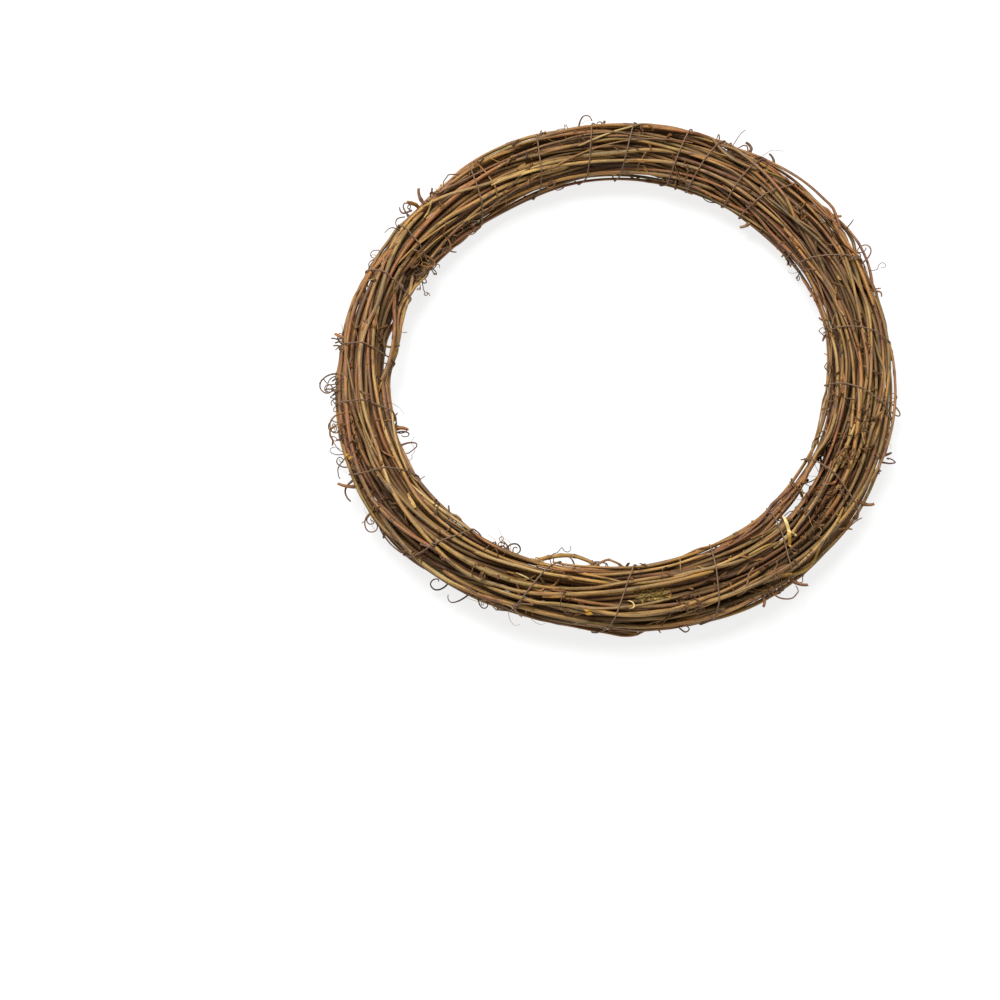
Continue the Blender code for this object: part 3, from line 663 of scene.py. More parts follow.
# %% Tubes
def carried_frames(path, first=None):
    """Unit directions along and across each path of (paths, points, 3), carried without twist."""
    along = np.gradient(path, axis=1)
    along /= np.linalg.norm(along, axis=-1, keepdims=True) + 1e-12
    across = np.empty_like(path)
    last = np.eye(3)[np.abs(along[:, 0]).argmin(-1)] if first is None else first
    for point in range(path.shape[1]):
        here = along[:, point]
        last = last - (last * here).sum(-1, keepdims=True) * here
        last = last / (np.linalg.norm(last, axis=-1, keepdims=True) + 1e-12)
        across[:, point] = last
    return along, across, np.cross(along, across)


FLANK_SHADE = 0.55      # painted shade on the side of a stem that faces away from the outward way
SHARP = 78              # degrees between faces, from which an edge stays sharp


def tubes(path, radius, sides, offset=0.0, tone=0.5, ribs=0.0, node=0.0, painted_shade=0.0, flat=1.0, ragged=0.0,
          first=None, outward=None):
    """Points = path + radius (cos a first direction + flat sin a second), with a low wave of ribs round it.

    Gives a grid for `piece`: points (paths, points, sides, 3), and the looks of each of them. Shade is
    painted
    on the flanks: the painted shade grows by (1 - cos)/2 of the angle from the outward way.
    """
    paths, points = path.shape[:2]
    path = path.copy()
    path[..., 2] = np.maximum(path[..., 2], np.broadcast_to(radius, (paths, points)) * 1.1)
    along, across, beside = carried_frames(path, first)
    length = np.cumsum(np.linalg.norm(np.diff(path, axis=1, prepend=path[:, :1]), axis=-1), 1)
    turn = np.arange(sides) * TURN / sides
    offset = np.broadcast_to(np.reshape(offset, (-1, 1)), (paths, points))
    wave = 1 + ribs * np.cos(3 * turn + 9 * offset[..., None] + 160 * length[..., None])
    wave = wave * (1 + ribs * np.cos(2 * turn + 5 * offset[..., None] + 90 * length[..., None]))
    size = (np.broadcast_to(radius, (paths, points))[..., None] * wave)[..., None]
    ring = across[:, :, None] * np.cos(turn)[:, None] + beside[:, :, None] * (np.sin(turn) * flat)[:, None]
    grid = path[:, :, None] + ring * size
    if ragged:
        tear = np.cos(turn * 2 + offset[:, -1:]) * np.broadcast_to(radius, (paths, points))[:, -1:] * ragged
        grid[:, -1] += along[:, -1][:, None] * tear[..., None]
    shape = (paths, points, sides)
    grain = np.stack([np.broadcast_to(np.cos(turn), shape), np.broadcast_to(np.sin(turn), shape),
                      np.broadcast_to((length + offset)[..., None], shape)], -1)
    looks = [np.broadcast_to(np.reshape(value, (paths if np.ndim(value) else 1, -1, 1)), shape)
             for value in (tone, node, painted_shade)]
    # Painted shade on the flanks that face away from the outward way
    if outward is not None:
        facing = (ring / np.linalg.norm(ring, axis=-1, keepdims=True) * outward[:, :, None]).sum(-1)
        looks[2] = looks[2] + FLANK_SHADE * (1 - facing) / 2
    return grid, grain, np.stack(looks, -1)


def piece(name, grids, material, slot, cad_nodes=(), closed=False):
    """One mesh object from several grids: quads between neighbouring rings and a face on each end."""
    points, grains, looks, quads, caps, first = [], [], [], [], [], 0
    for grid, grain, look in grids:
        paths, length, sides = grid.shape[:3]
        index = first + np.arange(paths * length * sides).reshape(paths, length, sides)
        if closed:
            index = np.concatenate([index, index[:, :1]], 1)
        ahead = np.roll(index, -1, 2)
        quads.append(np.stack([index[:, :-1], ahead[:, :-1], ahead[:, 1:], index[:, 1:]], -1).reshape(-1, 4))
        if not closed:
            caps += [index[:, 0, ::-1], index[:, -1]]
        points.append(grid.reshape(-1, 3))
        grains.append(grain.reshape(-1, 3))
        looks.append(look.reshape(-1, 3))
        first += paths * length * sides
    quads = np.concatenate(quads)
    sizes = np.concatenate([np.full(len(quads), 4)] + [np.full(len(cap), cap.shape[1]) for cap in caps])
    corners = np.concatenate([quads.ravel()] + [cap.ravel() for cap in caps])
    mesh = bpy.data.meshes.new(name)
    mesh.vertices.add(first)
    mesh.vertices.foreach_set("co", np.concatenate(points).ravel().astype(np.float32))
    mesh.loops.add(len(corners))
    mesh.loops.foreach_set("vertex_index", corners.astype(np.int32))
    mesh.polygons.add(len(sizes))
    mesh.polygons.foreach_set("loop_start", np.concatenate([[0], np.cumsum(sizes)[:-1]]).astype(np.int32))
    mesh.update(calc_edges=True)
    for label, values in (("grain", grains), ("looks", looks)):
        layer = mesh.attributes.new(label, "FLOAT_VECTOR", "POINT")
        layer.data.foreach_set("vector", np.concatenate(values).ravel().astype(np.float32))
    mesh.shade_smooth()
    mesh.set_sharp_from_angle(angle=np.radians(SHARP))
    mesh.materials.append(material)
    made = bpy.data.objects.new(name, mesh)
    scene.collection.objects.link(made)
    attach(made, "root")
    if cad_nodes:
        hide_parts(*cad_nodes)
    print(f"{name}: {len(quads) * 2 + sum(cap.shape[0] * (cap.shape[1] - 2) for cap in caps)} triangles")

# %% [markdown]
# ## Bark, written as expressions
#
# A material is a sum of patterns: streaks along the stem, patches of other colours, dark rings at the
# nodes, paler ridges where the bark is worn, and painted shade deep in the bundle and on the stems' flanks.
# Each is a number from 0 to 1, and numbers are easier to read as expressions than as a picture of nodes. So
# one small class wraps a socket and adds a Math node for each operator, and another makes any other node in
# one call.

# %% Numbers and nodes
def feed(entry, value):
    """Set an input socket, or link it if the value is a number that a node makes."""
    if isinstance(value, Number):
        entry.id_data.links.new(value.socket, entry)
    else:
        entry.default_value = value


class Number:
    """An output socket of a material. Sums, differences, products and quotients of it add Math nodes."""

    def __init__(self, socket):
        self.socket = socket

    def math(self, operation, first, second):
        """A Math node on two numbers, of which one may be plain."""
        node = self.socket.id_data.nodes.new("ShaderNodeMath")
        node.operation = operation
        feed(node.inputs[0], first)
        feed(node.inputs[1], second)
        return Number(node.outputs[0])

    def __add__(self, other):
        return self.math("ADD", self, other)

    def __sub__(self, other):
        return self.math("SUBTRACT", self, other)

    def __rsub__(self, other):
        return self.math("SUBTRACT", other, self)

    def __mul__(self, other):
        return self.math("MULTIPLY", self, other)

    def __truediv__(self, other):
        return self.math("DIVIDE", self, other)

    def __rtruediv__(self, other):
        return self.math("DIVIDE", other, self)

    __radd__, __rmul__ = __add__, __mul__

    def clipped(self):
        """The number kept between 0 and 1."""
        return self.math("MINIMUM", self.math("MAXIMUM", self, 0.0), 1.0)

    def between(self, low, high):
        """0 below low, 1 above high and straight between."""
        return ((self - low) / (high - low)).clipped()


def paint(red, green, blue):
    """A colour from screen values of 0 to 255, as the light that a material needs."""
    screen = np.array((red, green, blue)) / 255
    light = np.where(screen <= 0.04045, screen / 12.92, ((screen + 0.055) / 1.055) ** 2.4)
    return (*light.tolist(), 1.0)


class Finish:
    """A material with one Principled shader, and calls that add nodes to it."""

    def __init__(self, name, roughness=0.6, **constants):
        """Constants are sockets by name, with _ for each space."""
        self.material = bpy.data.materials.new(name)
        self.material.use_nodes = True
        self.tree = self.material.node_tree
        self.shader = self.tree.nodes["Principled BSDF"]
        self.shader.inputs["Roughness"].default_value = roughness
        for label, value in constants.items():
            self.shader.inputs[label.replace("_", " ")].default_value = value

    def node(self, kind, settings, inputs, output=0):
        """A new node: its settings first, then its inputs by name or place, as values or links."""
        made = self.tree.nodes.new("ShaderNode" + kind)
        for label, value in settings.items():
            if label == "stops":
                ramp = made.color_ramp
                while len(ramp.elements) < len(value):
                    ramp.elements.new(0.5)
                for element, (position, colour) in zip(ramp.elements, value):
                    element.position, element.color = position, colour
            else:
                setattr(made, label, value)
        for label, value in inputs.items():
            feed(made.inputs[label], value)
        return Number(made.outputs[output])

    def attribute(self, label):
        """The three numbers of a mesh attribute, and the vector that they make."""
        vector = self.node("Attribute", {"attribute_name": label}, {}, output=1)
        split = self.tree.nodes.new("ShaderNodeSeparateXYZ")
        feed(split.inputs[0], vector)
        return vector, [Number(output) for output in split.outputs]

    def noise(self, place, stretch, detail=3.0, roughness=0.55):
        """Noise from 0 to 1 on a vector that is stretched along each axis."""
        spread = self.node("VectorMath", {"operation": "MULTIPLY"}, {0: place, 1: stretch})
        return self.node("TexNoise", {}, {"Vector": spread, "Scale": 1.0, "Detail": detail,
                                          "Roughness": roughness})

    def mix(self, share, first, second):
        """A colour between two: 0 is the first and 1 the second."""
        return self.node("Mix", {"data_type": "RGBA"}, {0: share, 6: first, 7: second}, output=2)

    def colour(self, value):
        """The colour of the surface."""
        feed(self.shader.inputs["Base Color"], value)

    def bump(self, height, distance, strength=1.0):
        """Small relief: a height from 0 to 1 over a distance in metres."""
        made = self.node("Bump", {}, {"Height": height, "Distance": distance, "Strength": strength})
        feed(self.shader.inputs["Normal"], made)


# %% [markdown]
# ## The bark itself
#
# Old vine bark runs from almost black through reddish brown to ochre and straw, and one stem shows two or
# three of these. So a colour ramp holds the whole range, and a stem's own tone plus a slow noise along it
# says where on the ramp it is. Each of the five barks of the solid model has the same range, moved a
# little towards its own colour. Slow noises along the stem then make some stretches reddish, olive, golden
# or weathered grey, and faster ones add pale ridges, dark cracks, spots and chips.

# %% Bark
BARK_RANGE = ((0.00, paint(56, 34, 17)), (0.18, paint(92, 56, 29)), (0.34, paint(122, 70, 32)),
              (0.44, paint(156, 92, 38)), (0.54, paint(150, 104, 51)), (0.66, paint(132, 108, 52)),
              (0.82, paint(184, 137, 67)), (1.00, paint(208, 174, 108)))
# Stretches of the stem that are reddish, olive, golden and weathered: stretch of the noise round and along,
# its roughness, where it starts and is full, its share, and the colour
TINTS = ((0.5, 40, 0.55, 0.5, 0.68, 0.6, (158, 80, 30)), (0.42, 17, 0.4, 0.54, 0.68, 0.52, (112, 102, 42)),
         (0.3, 13, 0.4, 0.52, 0.62, 0.5, (188, 130, 38)), (0.38, 15, 0.4, 0.54, 0.64, 0.5, (100, 85, 68)))


def bark(name, lean):
    """Bark whose place on the range leans towards dark (below 0) or pale (above 0)."""
    made = Finish(name, Specular_IOR_Level=0.42, Coat_Weight=0.1, Coat_Roughness=0.3)
    grain, _ = made.attribute("grain")
    _, (tone, node, painted_shade) = made.attribute("looks")
    patches = made.noise(grain, (0.35, 0.35, 26.0), 2.0)
    streaks = made.noise(grain, (2.6, 2.6, 95.0), 4.0, 0.62)
    fine = made.noise(grain, (7.0, 7.0, 420.0), 3.0)
    spots = made.noise(grain, (3.0, 3.0, 900.0), 2.0)
    where = tone + lean + (patches - 0.5) * 0.85 + (streaks - 0.5) * 0.42
    colour = made.node("ValToRGB", {"stops": BARK_RANGE}, {"Fac": where.clipped()})
    for round_it, along_it, roughness, low, high, share, tint in TINTS:
        stretch = made.noise(grain, (round_it, round_it, along_it), 1.0, roughness).between(low, high)
        colour = made.mix(stretch * share, colour, paint(*tint))
    ridges = (streaks + (fine - 0.5) * 0.5).between(0.52, 0.7)
    colour = made.mix(ridges * 0.48, colour, paint(214, 169, 101))
    cracks = (1 - streaks + (fine - 0.5) * 0.4).between(0.54, 0.68)
    colour = made.mix(cracks * 0.72, colour, paint(52, 27, 9))
    colour = made.mix(spots.between(0.58, 0.66) * 0.5, colour, paint(54, 32, 20))
    chipped = made.noise(grain, (3.6, 3.6, 260.0), 2.0).between(0.66, 0.72)
    colour = made.mix(chipped * 0.6, colour, paint(214, 192, 154))
    colour = made.mix(node.clipped() * 0.62, colour, paint(66, 40, 28))
    # Painted shade: stems that lie deep in the bundle, under others, are darkened towards dark brown.
    colour = made.mix(painted_shade.between(0.08, 0.95) * 0.78, colour, paint(62, 35, 10))
    made.colour(colour)
    feed(made.shader.inputs["Roughness"], 0.34 + streaks * 0.3 + painted_shade * 0.3)
    made.bump(streaks * 0.7 + fine * 0.3, 0.35 * MM, 0.75)
    return made.material


# How far each bark leans towards dark or pale
BARKS = {"bark_brown": -0.04, "bark_ochre": 0.06, "bark_dark": -0.14, "bark_straw": 0.14, "bark_olive": 0.0}
barks = {slot: bark(slot, lean) for slot, lean in BARKS.items()}
slots = list(barks)
print(slots)

# %% [markdown]
# ## The shoots of the solid model
#
# A shoot starts inside its lap, leaves the bundle outward and leans along the ring. A tendril's heading
# turns steadily faster, as on a clock spring, which curls it up. The solid model gives each bow, tendril and
# stub a wished place and tries others near it, ever further off, until the shoot is clear of all else. The
# same search is made here among the thick vines and the thread, so that each shoot grows where the solid
# one does.

# %% The shoots that are wished for, as in the solid model
# Bows: first and last ring angle, section direction, lift, and then the lift, thickness and tone that are
# drawn. Tendrils: ring angle, section direction, length, turns of curl, way along the ring. Stubs: ring
# angle, section direction, length.
BOWS = ((21.5, 43.0, 8, 0.0095, 0.0095, 1, 0.3), (37.0, 67.0, 30, 0.0085, 0.0045, 0.9, 0.4),
        (156.5, 181.0, 172, 0.0075, 0.0066, 0.9, 0.3), (247.0, 266.5, 190, 0.0085, 0.0085, 1.05, 0.84),
        (262.0, 271.0, 168, 0.0050, 0.0050, 0.65, 0.2))
# One bow is drawn higher on the inner side than the solid one: vine, lap, first and last ring angle, section
# direction
MOVED_BOWS = {2: (11, 27, 159.38, 182.53, 155.0)}
TENDRILS = (
    (23.0, 20, 0.034, 1.1, 1), (57.5, 15, 0.020, 0.5, 1), (95.0, 35, 0.016, 0.4, -1),
    (137.5, 160, 0.022, 0.9, 1), (145.0, 168, 0.032, 1.3, 1), (139.5, 25, 0.018, 0.8, -1),
    (179.5, 12, 0.036, 1.4, 1), (190.0, 24, 0.034, 1.2, 1), (199.5, 165, 0.024, 0.6, 1),
    (211.0, 15, 0.024, 0.7, 1), (239.5, 172, 0.022, 1.2, 1), (258.0, 195, 0.026, 0.5, -1),
    (301.0, 20, 0.022, 0.4, 1), (321.0, 120, 0.026, 1.2, 1), (330.0, 95, 0.028, 1.4, 1),
    (338.0, 10, 0.020, 0.8, 1), (118.0, 310, 0.020, 0.7, 1), (232.0, 325, 0.024, 0.8, -1),
    (8.0, 150, 0.018, 0.7, 1), (283.0, 330, 0.022, 0.9, 1), (70.0, 178, 0.016, 0.6, -1),
    (352.0, 330, 0.022, 0.9, -1))
STUBS = (
    (35.0, 25, 0.008), (61.0, 25, 0.007), (135.0, 22, 0.009), (136.5, 45, 0.008), (172.5, 20, 0.008),
    (195.0, 160, 0.009), (204.5, 12, 0.013), (225.0, 82, 0.006), (299.0, 25, 0.008),
    (304.5, 12, 0.011), (317.0, 100, 0.008), (15.0, 120, 0.006), (75.0, 60, 0.006),
    (110.0, 150, 0.006), (160.0, 70, 0.006), (250.0, 45, 0.007), (273.0, 110, 0.006),
    (345.0, 60, 0.007), (90.0, 345, 0.007), (215.0, 340, 0.007), (310.0, 185, 0.006),
    (48.0, 185, 0.006), (128.0, 350, 0.006), (328.0, 350, 0.007))
print(len(BOWS), "bows,", len(TENDRILS), "tendrils and", len(STUBS), "stubs")

# %% The thread's way
# Ring angles where the thread crosses the outer side and, half a winding on, the inner side
THREAD_OUTER = (3, 20.5, 44, 54, 62.5, 70, 81.5, 91, 103.5, 119.5, 141.5, 155,
                173.5, 185.5, 201.5, 223, 246, 266, 288, 304, 325, 347.5)
THREAD_INNER = (9.5, 31, 51, 56, 67, 72.5, 85.5, 94.5, 107.5, 126, 147, 158,
                177, 193, 211, 233, 255, 275, 295, 314, 332, 354.5)
SOLID_THREAD, THREAD_GAP, THREAD_POINTS = 0.55 * MM, 0.3 * MM, 11


def thread_way(points):
    """Ring angles and section directions along the thread, at so many points in each winding."""
    windings = len(THREAD_OUTER)
    angles = np.empty(2 * windings + 1)
    angles[0:-1:2], angles[1::2] = THREAD_OUTER, THREAD_INNER
    angles[-1] = THREAD_OUTER[0] + 360
    turn = np.arange(windings * points) / points
    return np.radians(np.interp(turn, np.arange(2 * windings + 1) / 2, angles)), TURN * turn


def solid_thread():
    """World points of the solid thread: on the tight skin of the thick laps, further out where it must be."""
    angle, side = thread_way(THREAD_POINTS)
    facing = np.arange(60) * TURN / 60
    laps, radius = bundle.at(angle)
    reach = (np.einsum("...lk,fk->...fl", laps, unit(facing)) + radius[..., None, :]).max(-1)
    out = tight(reach, facing, side) + SOLID_THREAD + THREAD_GAP
    lowest = -FLAT_UNDERSIDE * half_sizes(angle)[1] - SOLID_THREAD - THREAD_GAP
    ahead = np.roll(angle, -1)
    ahead[-1] += TURN
    for _ in range(20):
        offset = out[:, None] * unit(side)
        offset[:, 1] = np.maximum(offset[:, 1], lowest)
        need = np.zeros(len(out))
        for share in (0.0, 0.25, 0.5, 0.75):
            spot = offset + (np.roll(offset, -1, 0) - offset) * share
            laps, radius = bundle.at(angle + (ahead - angle) * share)
            gap = (np.linalg.norm(laps - spot[:, None], axis=-1) - radius).min(-1)
            lack = np.maximum(SOLID_THREAD + THREAD_GAP - gap, 0)
            need = np.maximum(need, np.maximum(lack, np.roll(lack, 1) if share else 0))
        out = out + need
    return place(offset, angle)


def solid_vine(layer, start, end):
    """World points and radii along one thick vine: thick at its base, thin at its tip, swollen at nodes."""
    steps = np.arange(start - 1, end + 1)
    laps = np.array(laps_in_order(layer))[steps // STATIONS % LAYERS[layer][0]]
    points = place(bundle.offset[laps, steps % STATIONS], bundle.angle[steps % STATIONS])
    points[0] = points[1] + (points[0] - points[1]) * END_REACH
    points[-1] = points[-2] + (points[-1] - points[-2]) * END_REACH
    radii = bundle.radius[laps, steps % STATIONS] * np.linspace(1.0, 0.80, len(steps))
    return points, radii * np.where(np.arange(len(steps)) % 3 == 0, 1.0, 0.93)


# %% The space that is taken
SAMPLE_STEP, SEARCH_REACH, TURN_APART = 0.9 * MM, 60 * MM, 4 * MM


class Space:
    """Everything laid so far, as balls at equal steps, with the number of the vine that each belongs to."""

    def __init__(self):
        self.points, self.radii, self.owner = np.zeros((0, 3)), np.zeros(0), np.zeros(0, int)
        self.floor = 0.0

    def balls(self, course, radii):
        """Points and radii at equal steps along a course."""
        lengths = np.linalg.norm(np.diff(course, axis=0), axis=1)
        along = np.concatenate([[0], np.cumsum(lengths)])
        marks = np.linspace(0, along[-1], max(2, int(along[-1] / SAMPLE_STEP)))
        columns = [np.interp(marks, along, course[:, axis]) for axis in range(3)]
        return np.stack(columns, -1), np.interp(marks, along, radii)

    def add(self, course, radii, owner):
        """Take the space of a course."""
        points, radii = self.balls(course, radii)
        self.points = np.concatenate([self.points, points])
        self.radii = np.concatenate([self.radii, radii])
        self.owner = np.concatenate([self.owner, np.full(len(points), owner)])

    def clearance(self, course, radii, owner, root):
        """Least gap from a shoot to other pieces, the floor, its own turns and, past the root, its vine."""
        points, radii = self.balls(course, radii)
        near = np.linalg.norm(self.points - points.mean(0), axis=1) < SEARCH_REACH
        gap = np.linalg.norm(points[:, None] - self.points[near], axis=-1)
        gap = gap - radii[:, None] - self.radii[near]
        own = self.owner[near] == owner
        order = np.arange(len(points))
        turns = np.linalg.norm(points[:, None] - points, axis=-1) - radii[:, None] - radii
        turns = turns[np.abs(order[:, None] - order) * SAMPLE_STEP > TURN_APART]
        past_root = gap[order * SAMPLE_STEP > root][:, own]
        above = (points[:, 2] - radii).min() - self.floor
        return min(gap[:, ~own].min(initial=1), past_root.min(initial=1), turns.min(initial=1), above)


space = Space()
for number, run in enumerate(runs):
    space.add(*solid_vine(*run), number)
course = solid_thread()
space.add(np.concatenate([course, course[:1]]), np.full(len(course) + 1, SOLID_THREAD), len(runs))
space.floor = course[:, 2].min() - SOLID_THREAD
owners = {(laps_in_order(layer)[step // STATIONS % LAYERS[layer][0]], step % STATIONS): number
          for number, (layer, start, end) in enumerate(runs) for step in range(start, end)}
print(len(space.points), "balls along the solid vines and thread")

# %% Search for free places
def shoot_paths(root, angle, side, length, curl, way, lean, points, bend=0.9, drift=1.9 * MM, rise=0.0):
    """Paths that leave outward and turn by rise + bend s + curl s^2.2 along the ring, with a step aside.

    Every number but the count of points may be an array, one for each path. Gives (paths, points, 3).
    """
    given = (angle, side, length, curl, way, lean, bend, drift, rise)
    angle, side, length, curl, way, lean, bend, drift, rise = (np.atleast_1d(np.asarray(value, float))
                                                               for value in given)
    outward = outward_at(angle, side)
    along = np.stack([-np.sin(angle), np.cos(angle), 0 * angle], -1)
    flat = along * np.cos(lean)[:, None] + np.cross(outward, along) * np.sin(lean)[:, None]
    flat = flat * way[:, None]
    share = np.linspace(0, 1, points)
    middle = (share[1:] + share[:-1]) / 2
    heading = rise[:, None] + bend[:, None] * middle + TURN * curl[:, None] * middle ** 2.2
    steps = np.cos(heading)[..., None] * outward[:, None] + np.sin(heading)[..., None] * flat[:, None]
    steps = steps * (length / (points - 1))[:, None, None]
    aside = np.cross(outward, flat)[:, None] * np.diff(share ** 2)[:, None]
    steps = steps + aside * (drift * curl)[:, None, None]
    return np.concatenate([root[:, None], root[:, None] + np.cumsum(steps, 1)], 1)


PLACE_SPREAD, SIDE_SPREAD = 4.0, 25.0   # how far a shoot may move from its wished place, in degrees
SHOOT_LEAN, SHOOT_GAP = 0.5, 0.3 * MM
SHOOT_TRIES, BOW_TRIES = 80, 400
SOLID_BOW, SOLID_TENDRIL, SOLID_STUB = 1.1 * MM, 0.45 * MM, 1.0 * MM    # radii
BOW_POINTS, TENDRIL_POINTS, STUB_POINTS = 11, 17, 4
SHOOT_TAPER, ROOT = (1.15, 0.75), 2.2 * VINE_RADIUS     # a root may touch its own vine


def vine_at(lap, angle):
    """The vine that a lap belongs to at an angle, or None next to a vine's end."""
    station = int(station_at(angle, STATIONS)[0])
    ahead = (lap, station + 1) if station + 1 < STATIONS else (bundle.following[lap], 0)
    here = owners[lap, station]
    return here if owners[ahead] == here else None


def near(rng, spread, angle, side):
    """A place close to the wished one, the further off the more tries have failed, and its outermost lap."""
    angle = np.radians(angle + rng.normal() * PLACE_SPREAD * spread)
    side = np.radians(side + rng.normal() * SIDE_SPREAD * spread)
    offset, radius = bundle.at(angle)
    return angle, side, int(np.argmax(offset @ unit(side) + radius))


def degrees(angle, digits):
    """An angle in degrees, rounded to so many digits: finer than anyone could lay a stem."""
    return round(float(np.degrees(angle)), digits)


def shoot_tries(kind, number, angle, side, length, curl, way, points):
    """Tries for one tendril or stub: its vine, its course, and then what it is drawn by."""
    rng = np.random.default_rng([SEED, kind, number])
    for spread in np.arange(SHOOT_TRIES) / SHOOT_TRIES:
        here, facing, lap = near(rng, spread, angle, side)
        lean = rng.normal() * SHOOT_LEAN
        vine = vine_at(lap, here)
        if vine is not None:
            grown = length * (1 - 0.3 * spread)
            root = place(bundle.at(here)[0][lap], here)
            course = shoot_paths(root[None], here, facing, grown, curl, way, lean, points)[0]
            found = degrees(here, 2), degrees(facing, 1), round(grown, 4), round(lean, 3)
            yield vine, course, (lap, *found)


def bow_tries(number, start, end, side, lift):
    """Tries for one bow, whose two ends must lie on the same vine as its middle."""
    rng = np.random.default_rng([SEED, 1, number])
    half = np.radians(end - start) / 2
    for spread in np.arange(BOW_TRIES) / BOW_TRIES:
        middle, facing, lap = near(rng, spread, (start + end) / 2, side)
        reach = half * rng.uniform(1 - 0.3 * spread, 1 + 0.1 * spread)
        vines = {vine_at(lap, middle + move) for move in (-reach, 0, reach)}
        if len(vines) == 1 and None not in vines:
            share = np.linspace(0, 1, BOW_POINTS)
            angle = middle - reach + 2 * reach * share
            rise = lift * np.sin(np.pi * share)[:, None] * unit(facing)
            course = place(bundle.at(angle)[0][:, lap] + rise, angle)
            found = degrees(middle - reach, 2), degrees(middle + reach, 2), degrees(facing, 1)
            yield vines.pop(), course, (lap, *found)


def first_free(tries, radius, taper, root):
    """The vine and the places of the first try that is clear of all else. Its space is taken."""
    for vine, course, found in tries:
        radii = radius * np.linspace(*taper, len(course))
        if space.clearance(course, radii, vine, root) > SHOOT_GAP:
            space.add(course, radii, vine)
            return vine + 1, *found
    raise ValueError("no free place")


# %% Grow the shoots
def wobble(rng, share, marks, size):
    """Seeded zigzag along a shoot: straight between so many marks, of a size in mm."""
    return np.interp(share, np.linspace(0, 1, marks), rng.normal(size=marks) * size * MM)


def knuckle_at(share, spot, width):
    """A smooth swelling, 1 at a spot along a shoot and 0 beyond its width."""
    return np.exp(-(share - spot) ** 2 / width)


shoots = {number: [] for number in range(1, len(runs) + 1)}
rng = np.random.default_rng(SEED + 4)
for number, (*wished, lift, thickness, tone) in enumerate(BOWS):
    found = first_free(bow_tries(number, *wished), SOLID_BOW, (1, 1), 1.0)
    vine, lap, start, end, side = MOVED_BOWS.get(number, found)
    share = np.linspace(0, 1, 46)
    angle, side = np.radians(start + (end - start) * share), np.radians(side)
    rise = (lift * np.sin(np.pi * share) ** 0.9)[:, None] * unit(side)
    sway = wobble(rng, share, 7, 0.5)
    path = place(bundle.at(angle)[0][:, lap] + rise + 0.7 * sway[:, None], angle)
    knuckle = np.exp(-((share[:, None] - (0.18, 0.52, 0.83)) / 0.022) ** 2).sum(1)
    radius = SOLID_BOW * thickness * (1 - 0.12 * share + 0.22 * knuckle)
    shoots[vine].append(tubes(path[None], radius, 8, rng.uniform(0, 9), tone, 0.07, knuckle))
for number, (*wished, curl, way) in enumerate(TENDRILS):
    tries = shoot_tries(2, number, *wished, curl, way, TENDRIL_POINTS)
    vine, lap, angle, side, length, lean = first_free(tries, SOLID_TENDRIL, SHOOT_TAPER, ROOT)
    angle, side = np.radians(angle), np.radians(side)
    root = place(bundle.at(angle)[0][lap], angle)
    path = shoot_paths(root[None], angle, side, length, curl, way, lean, 56)
    share = np.linspace(0, 1, 56)
    kinks = np.stack([wobble(rng, share, 9, 0.35) for _ in range(3)], -1)
    radius = MM * (0.52 - 0.24 * share + 0.3 * np.exp(-share * 18))
    shoots[vine].append(tubes(path + kinks * share[:, None], radius, 6, rng.uniform(0, 9), 0.1, 0.05, 0.4))
for number, wished in enumerate(STUBS):
    way = 1 if number % 2 else -1
    tries = shoot_tries(3, number, *wished, 0, way, STUB_POINTS)
    vine, lap, angle, side, length, lean = first_free(tries, SOLID_STUB, SHOOT_TAPER, ROOT)
    angle, side = np.radians(angle), np.radians(side)
    root = place(bundle.at(angle)[0][lap], angle)
    path = shoot_paths(root[None], angle, side, length, 0, way, lean, 12)
    share = np.linspace(0, 1, 12)
    radius = MM * (1.02 - 0.28 * share + 0.25 * knuckle_at(share, 0.3, 0.01))
    knuckle = 0.8 * knuckle_at(share, 0.3, 0.02)
    shoots[vine].append(tubes(path, radius, 8, rng.uniform(0, 9), 0.22, 0.06, knuckle, ragged=0.45))
print({vine: len(grown) for vine, grown in shoots.items() if grown})

# %% [markdown]
# ## The vines
#
# A stem thickens at its nodes, where leaves once grew, and changes its heading there a little. The marks
# along it are closer at the nodes, so that the swelling has a shape. Stems in the heart of the bundle are
# hardly seen and get fewer points and sides.

# %% Stems with nodes
STATION_LENGTH = RING_RADIUS * TURN / FINE
# The step along a stem and the sides round it, in each layer from the heart out
DETAIL = ((7 * MM, 5), (7 * MM, 5), (4.5 * MM, 6), (3 * MM, 8), (3 * MM, 8))
NODE_APART = (38, 85)   # mm
NODE_WIDTH, NODE_SWELL, NODE_KINK = 1.9 * MM, 0.2, 0.26 * MM
NODE_MARKS = MM * np.array((-2.4, -1.1, 0, 1.1, 2.4))
END_TAPER, END_LENGTH = 0.42, 2.2 * MM
DEEPEST = 5.5 * MM      # below the skin, where the painted shade is full
SKYWARD = 0.7           # how much the side of a stem that gets no painted flank shade turns from outward to up
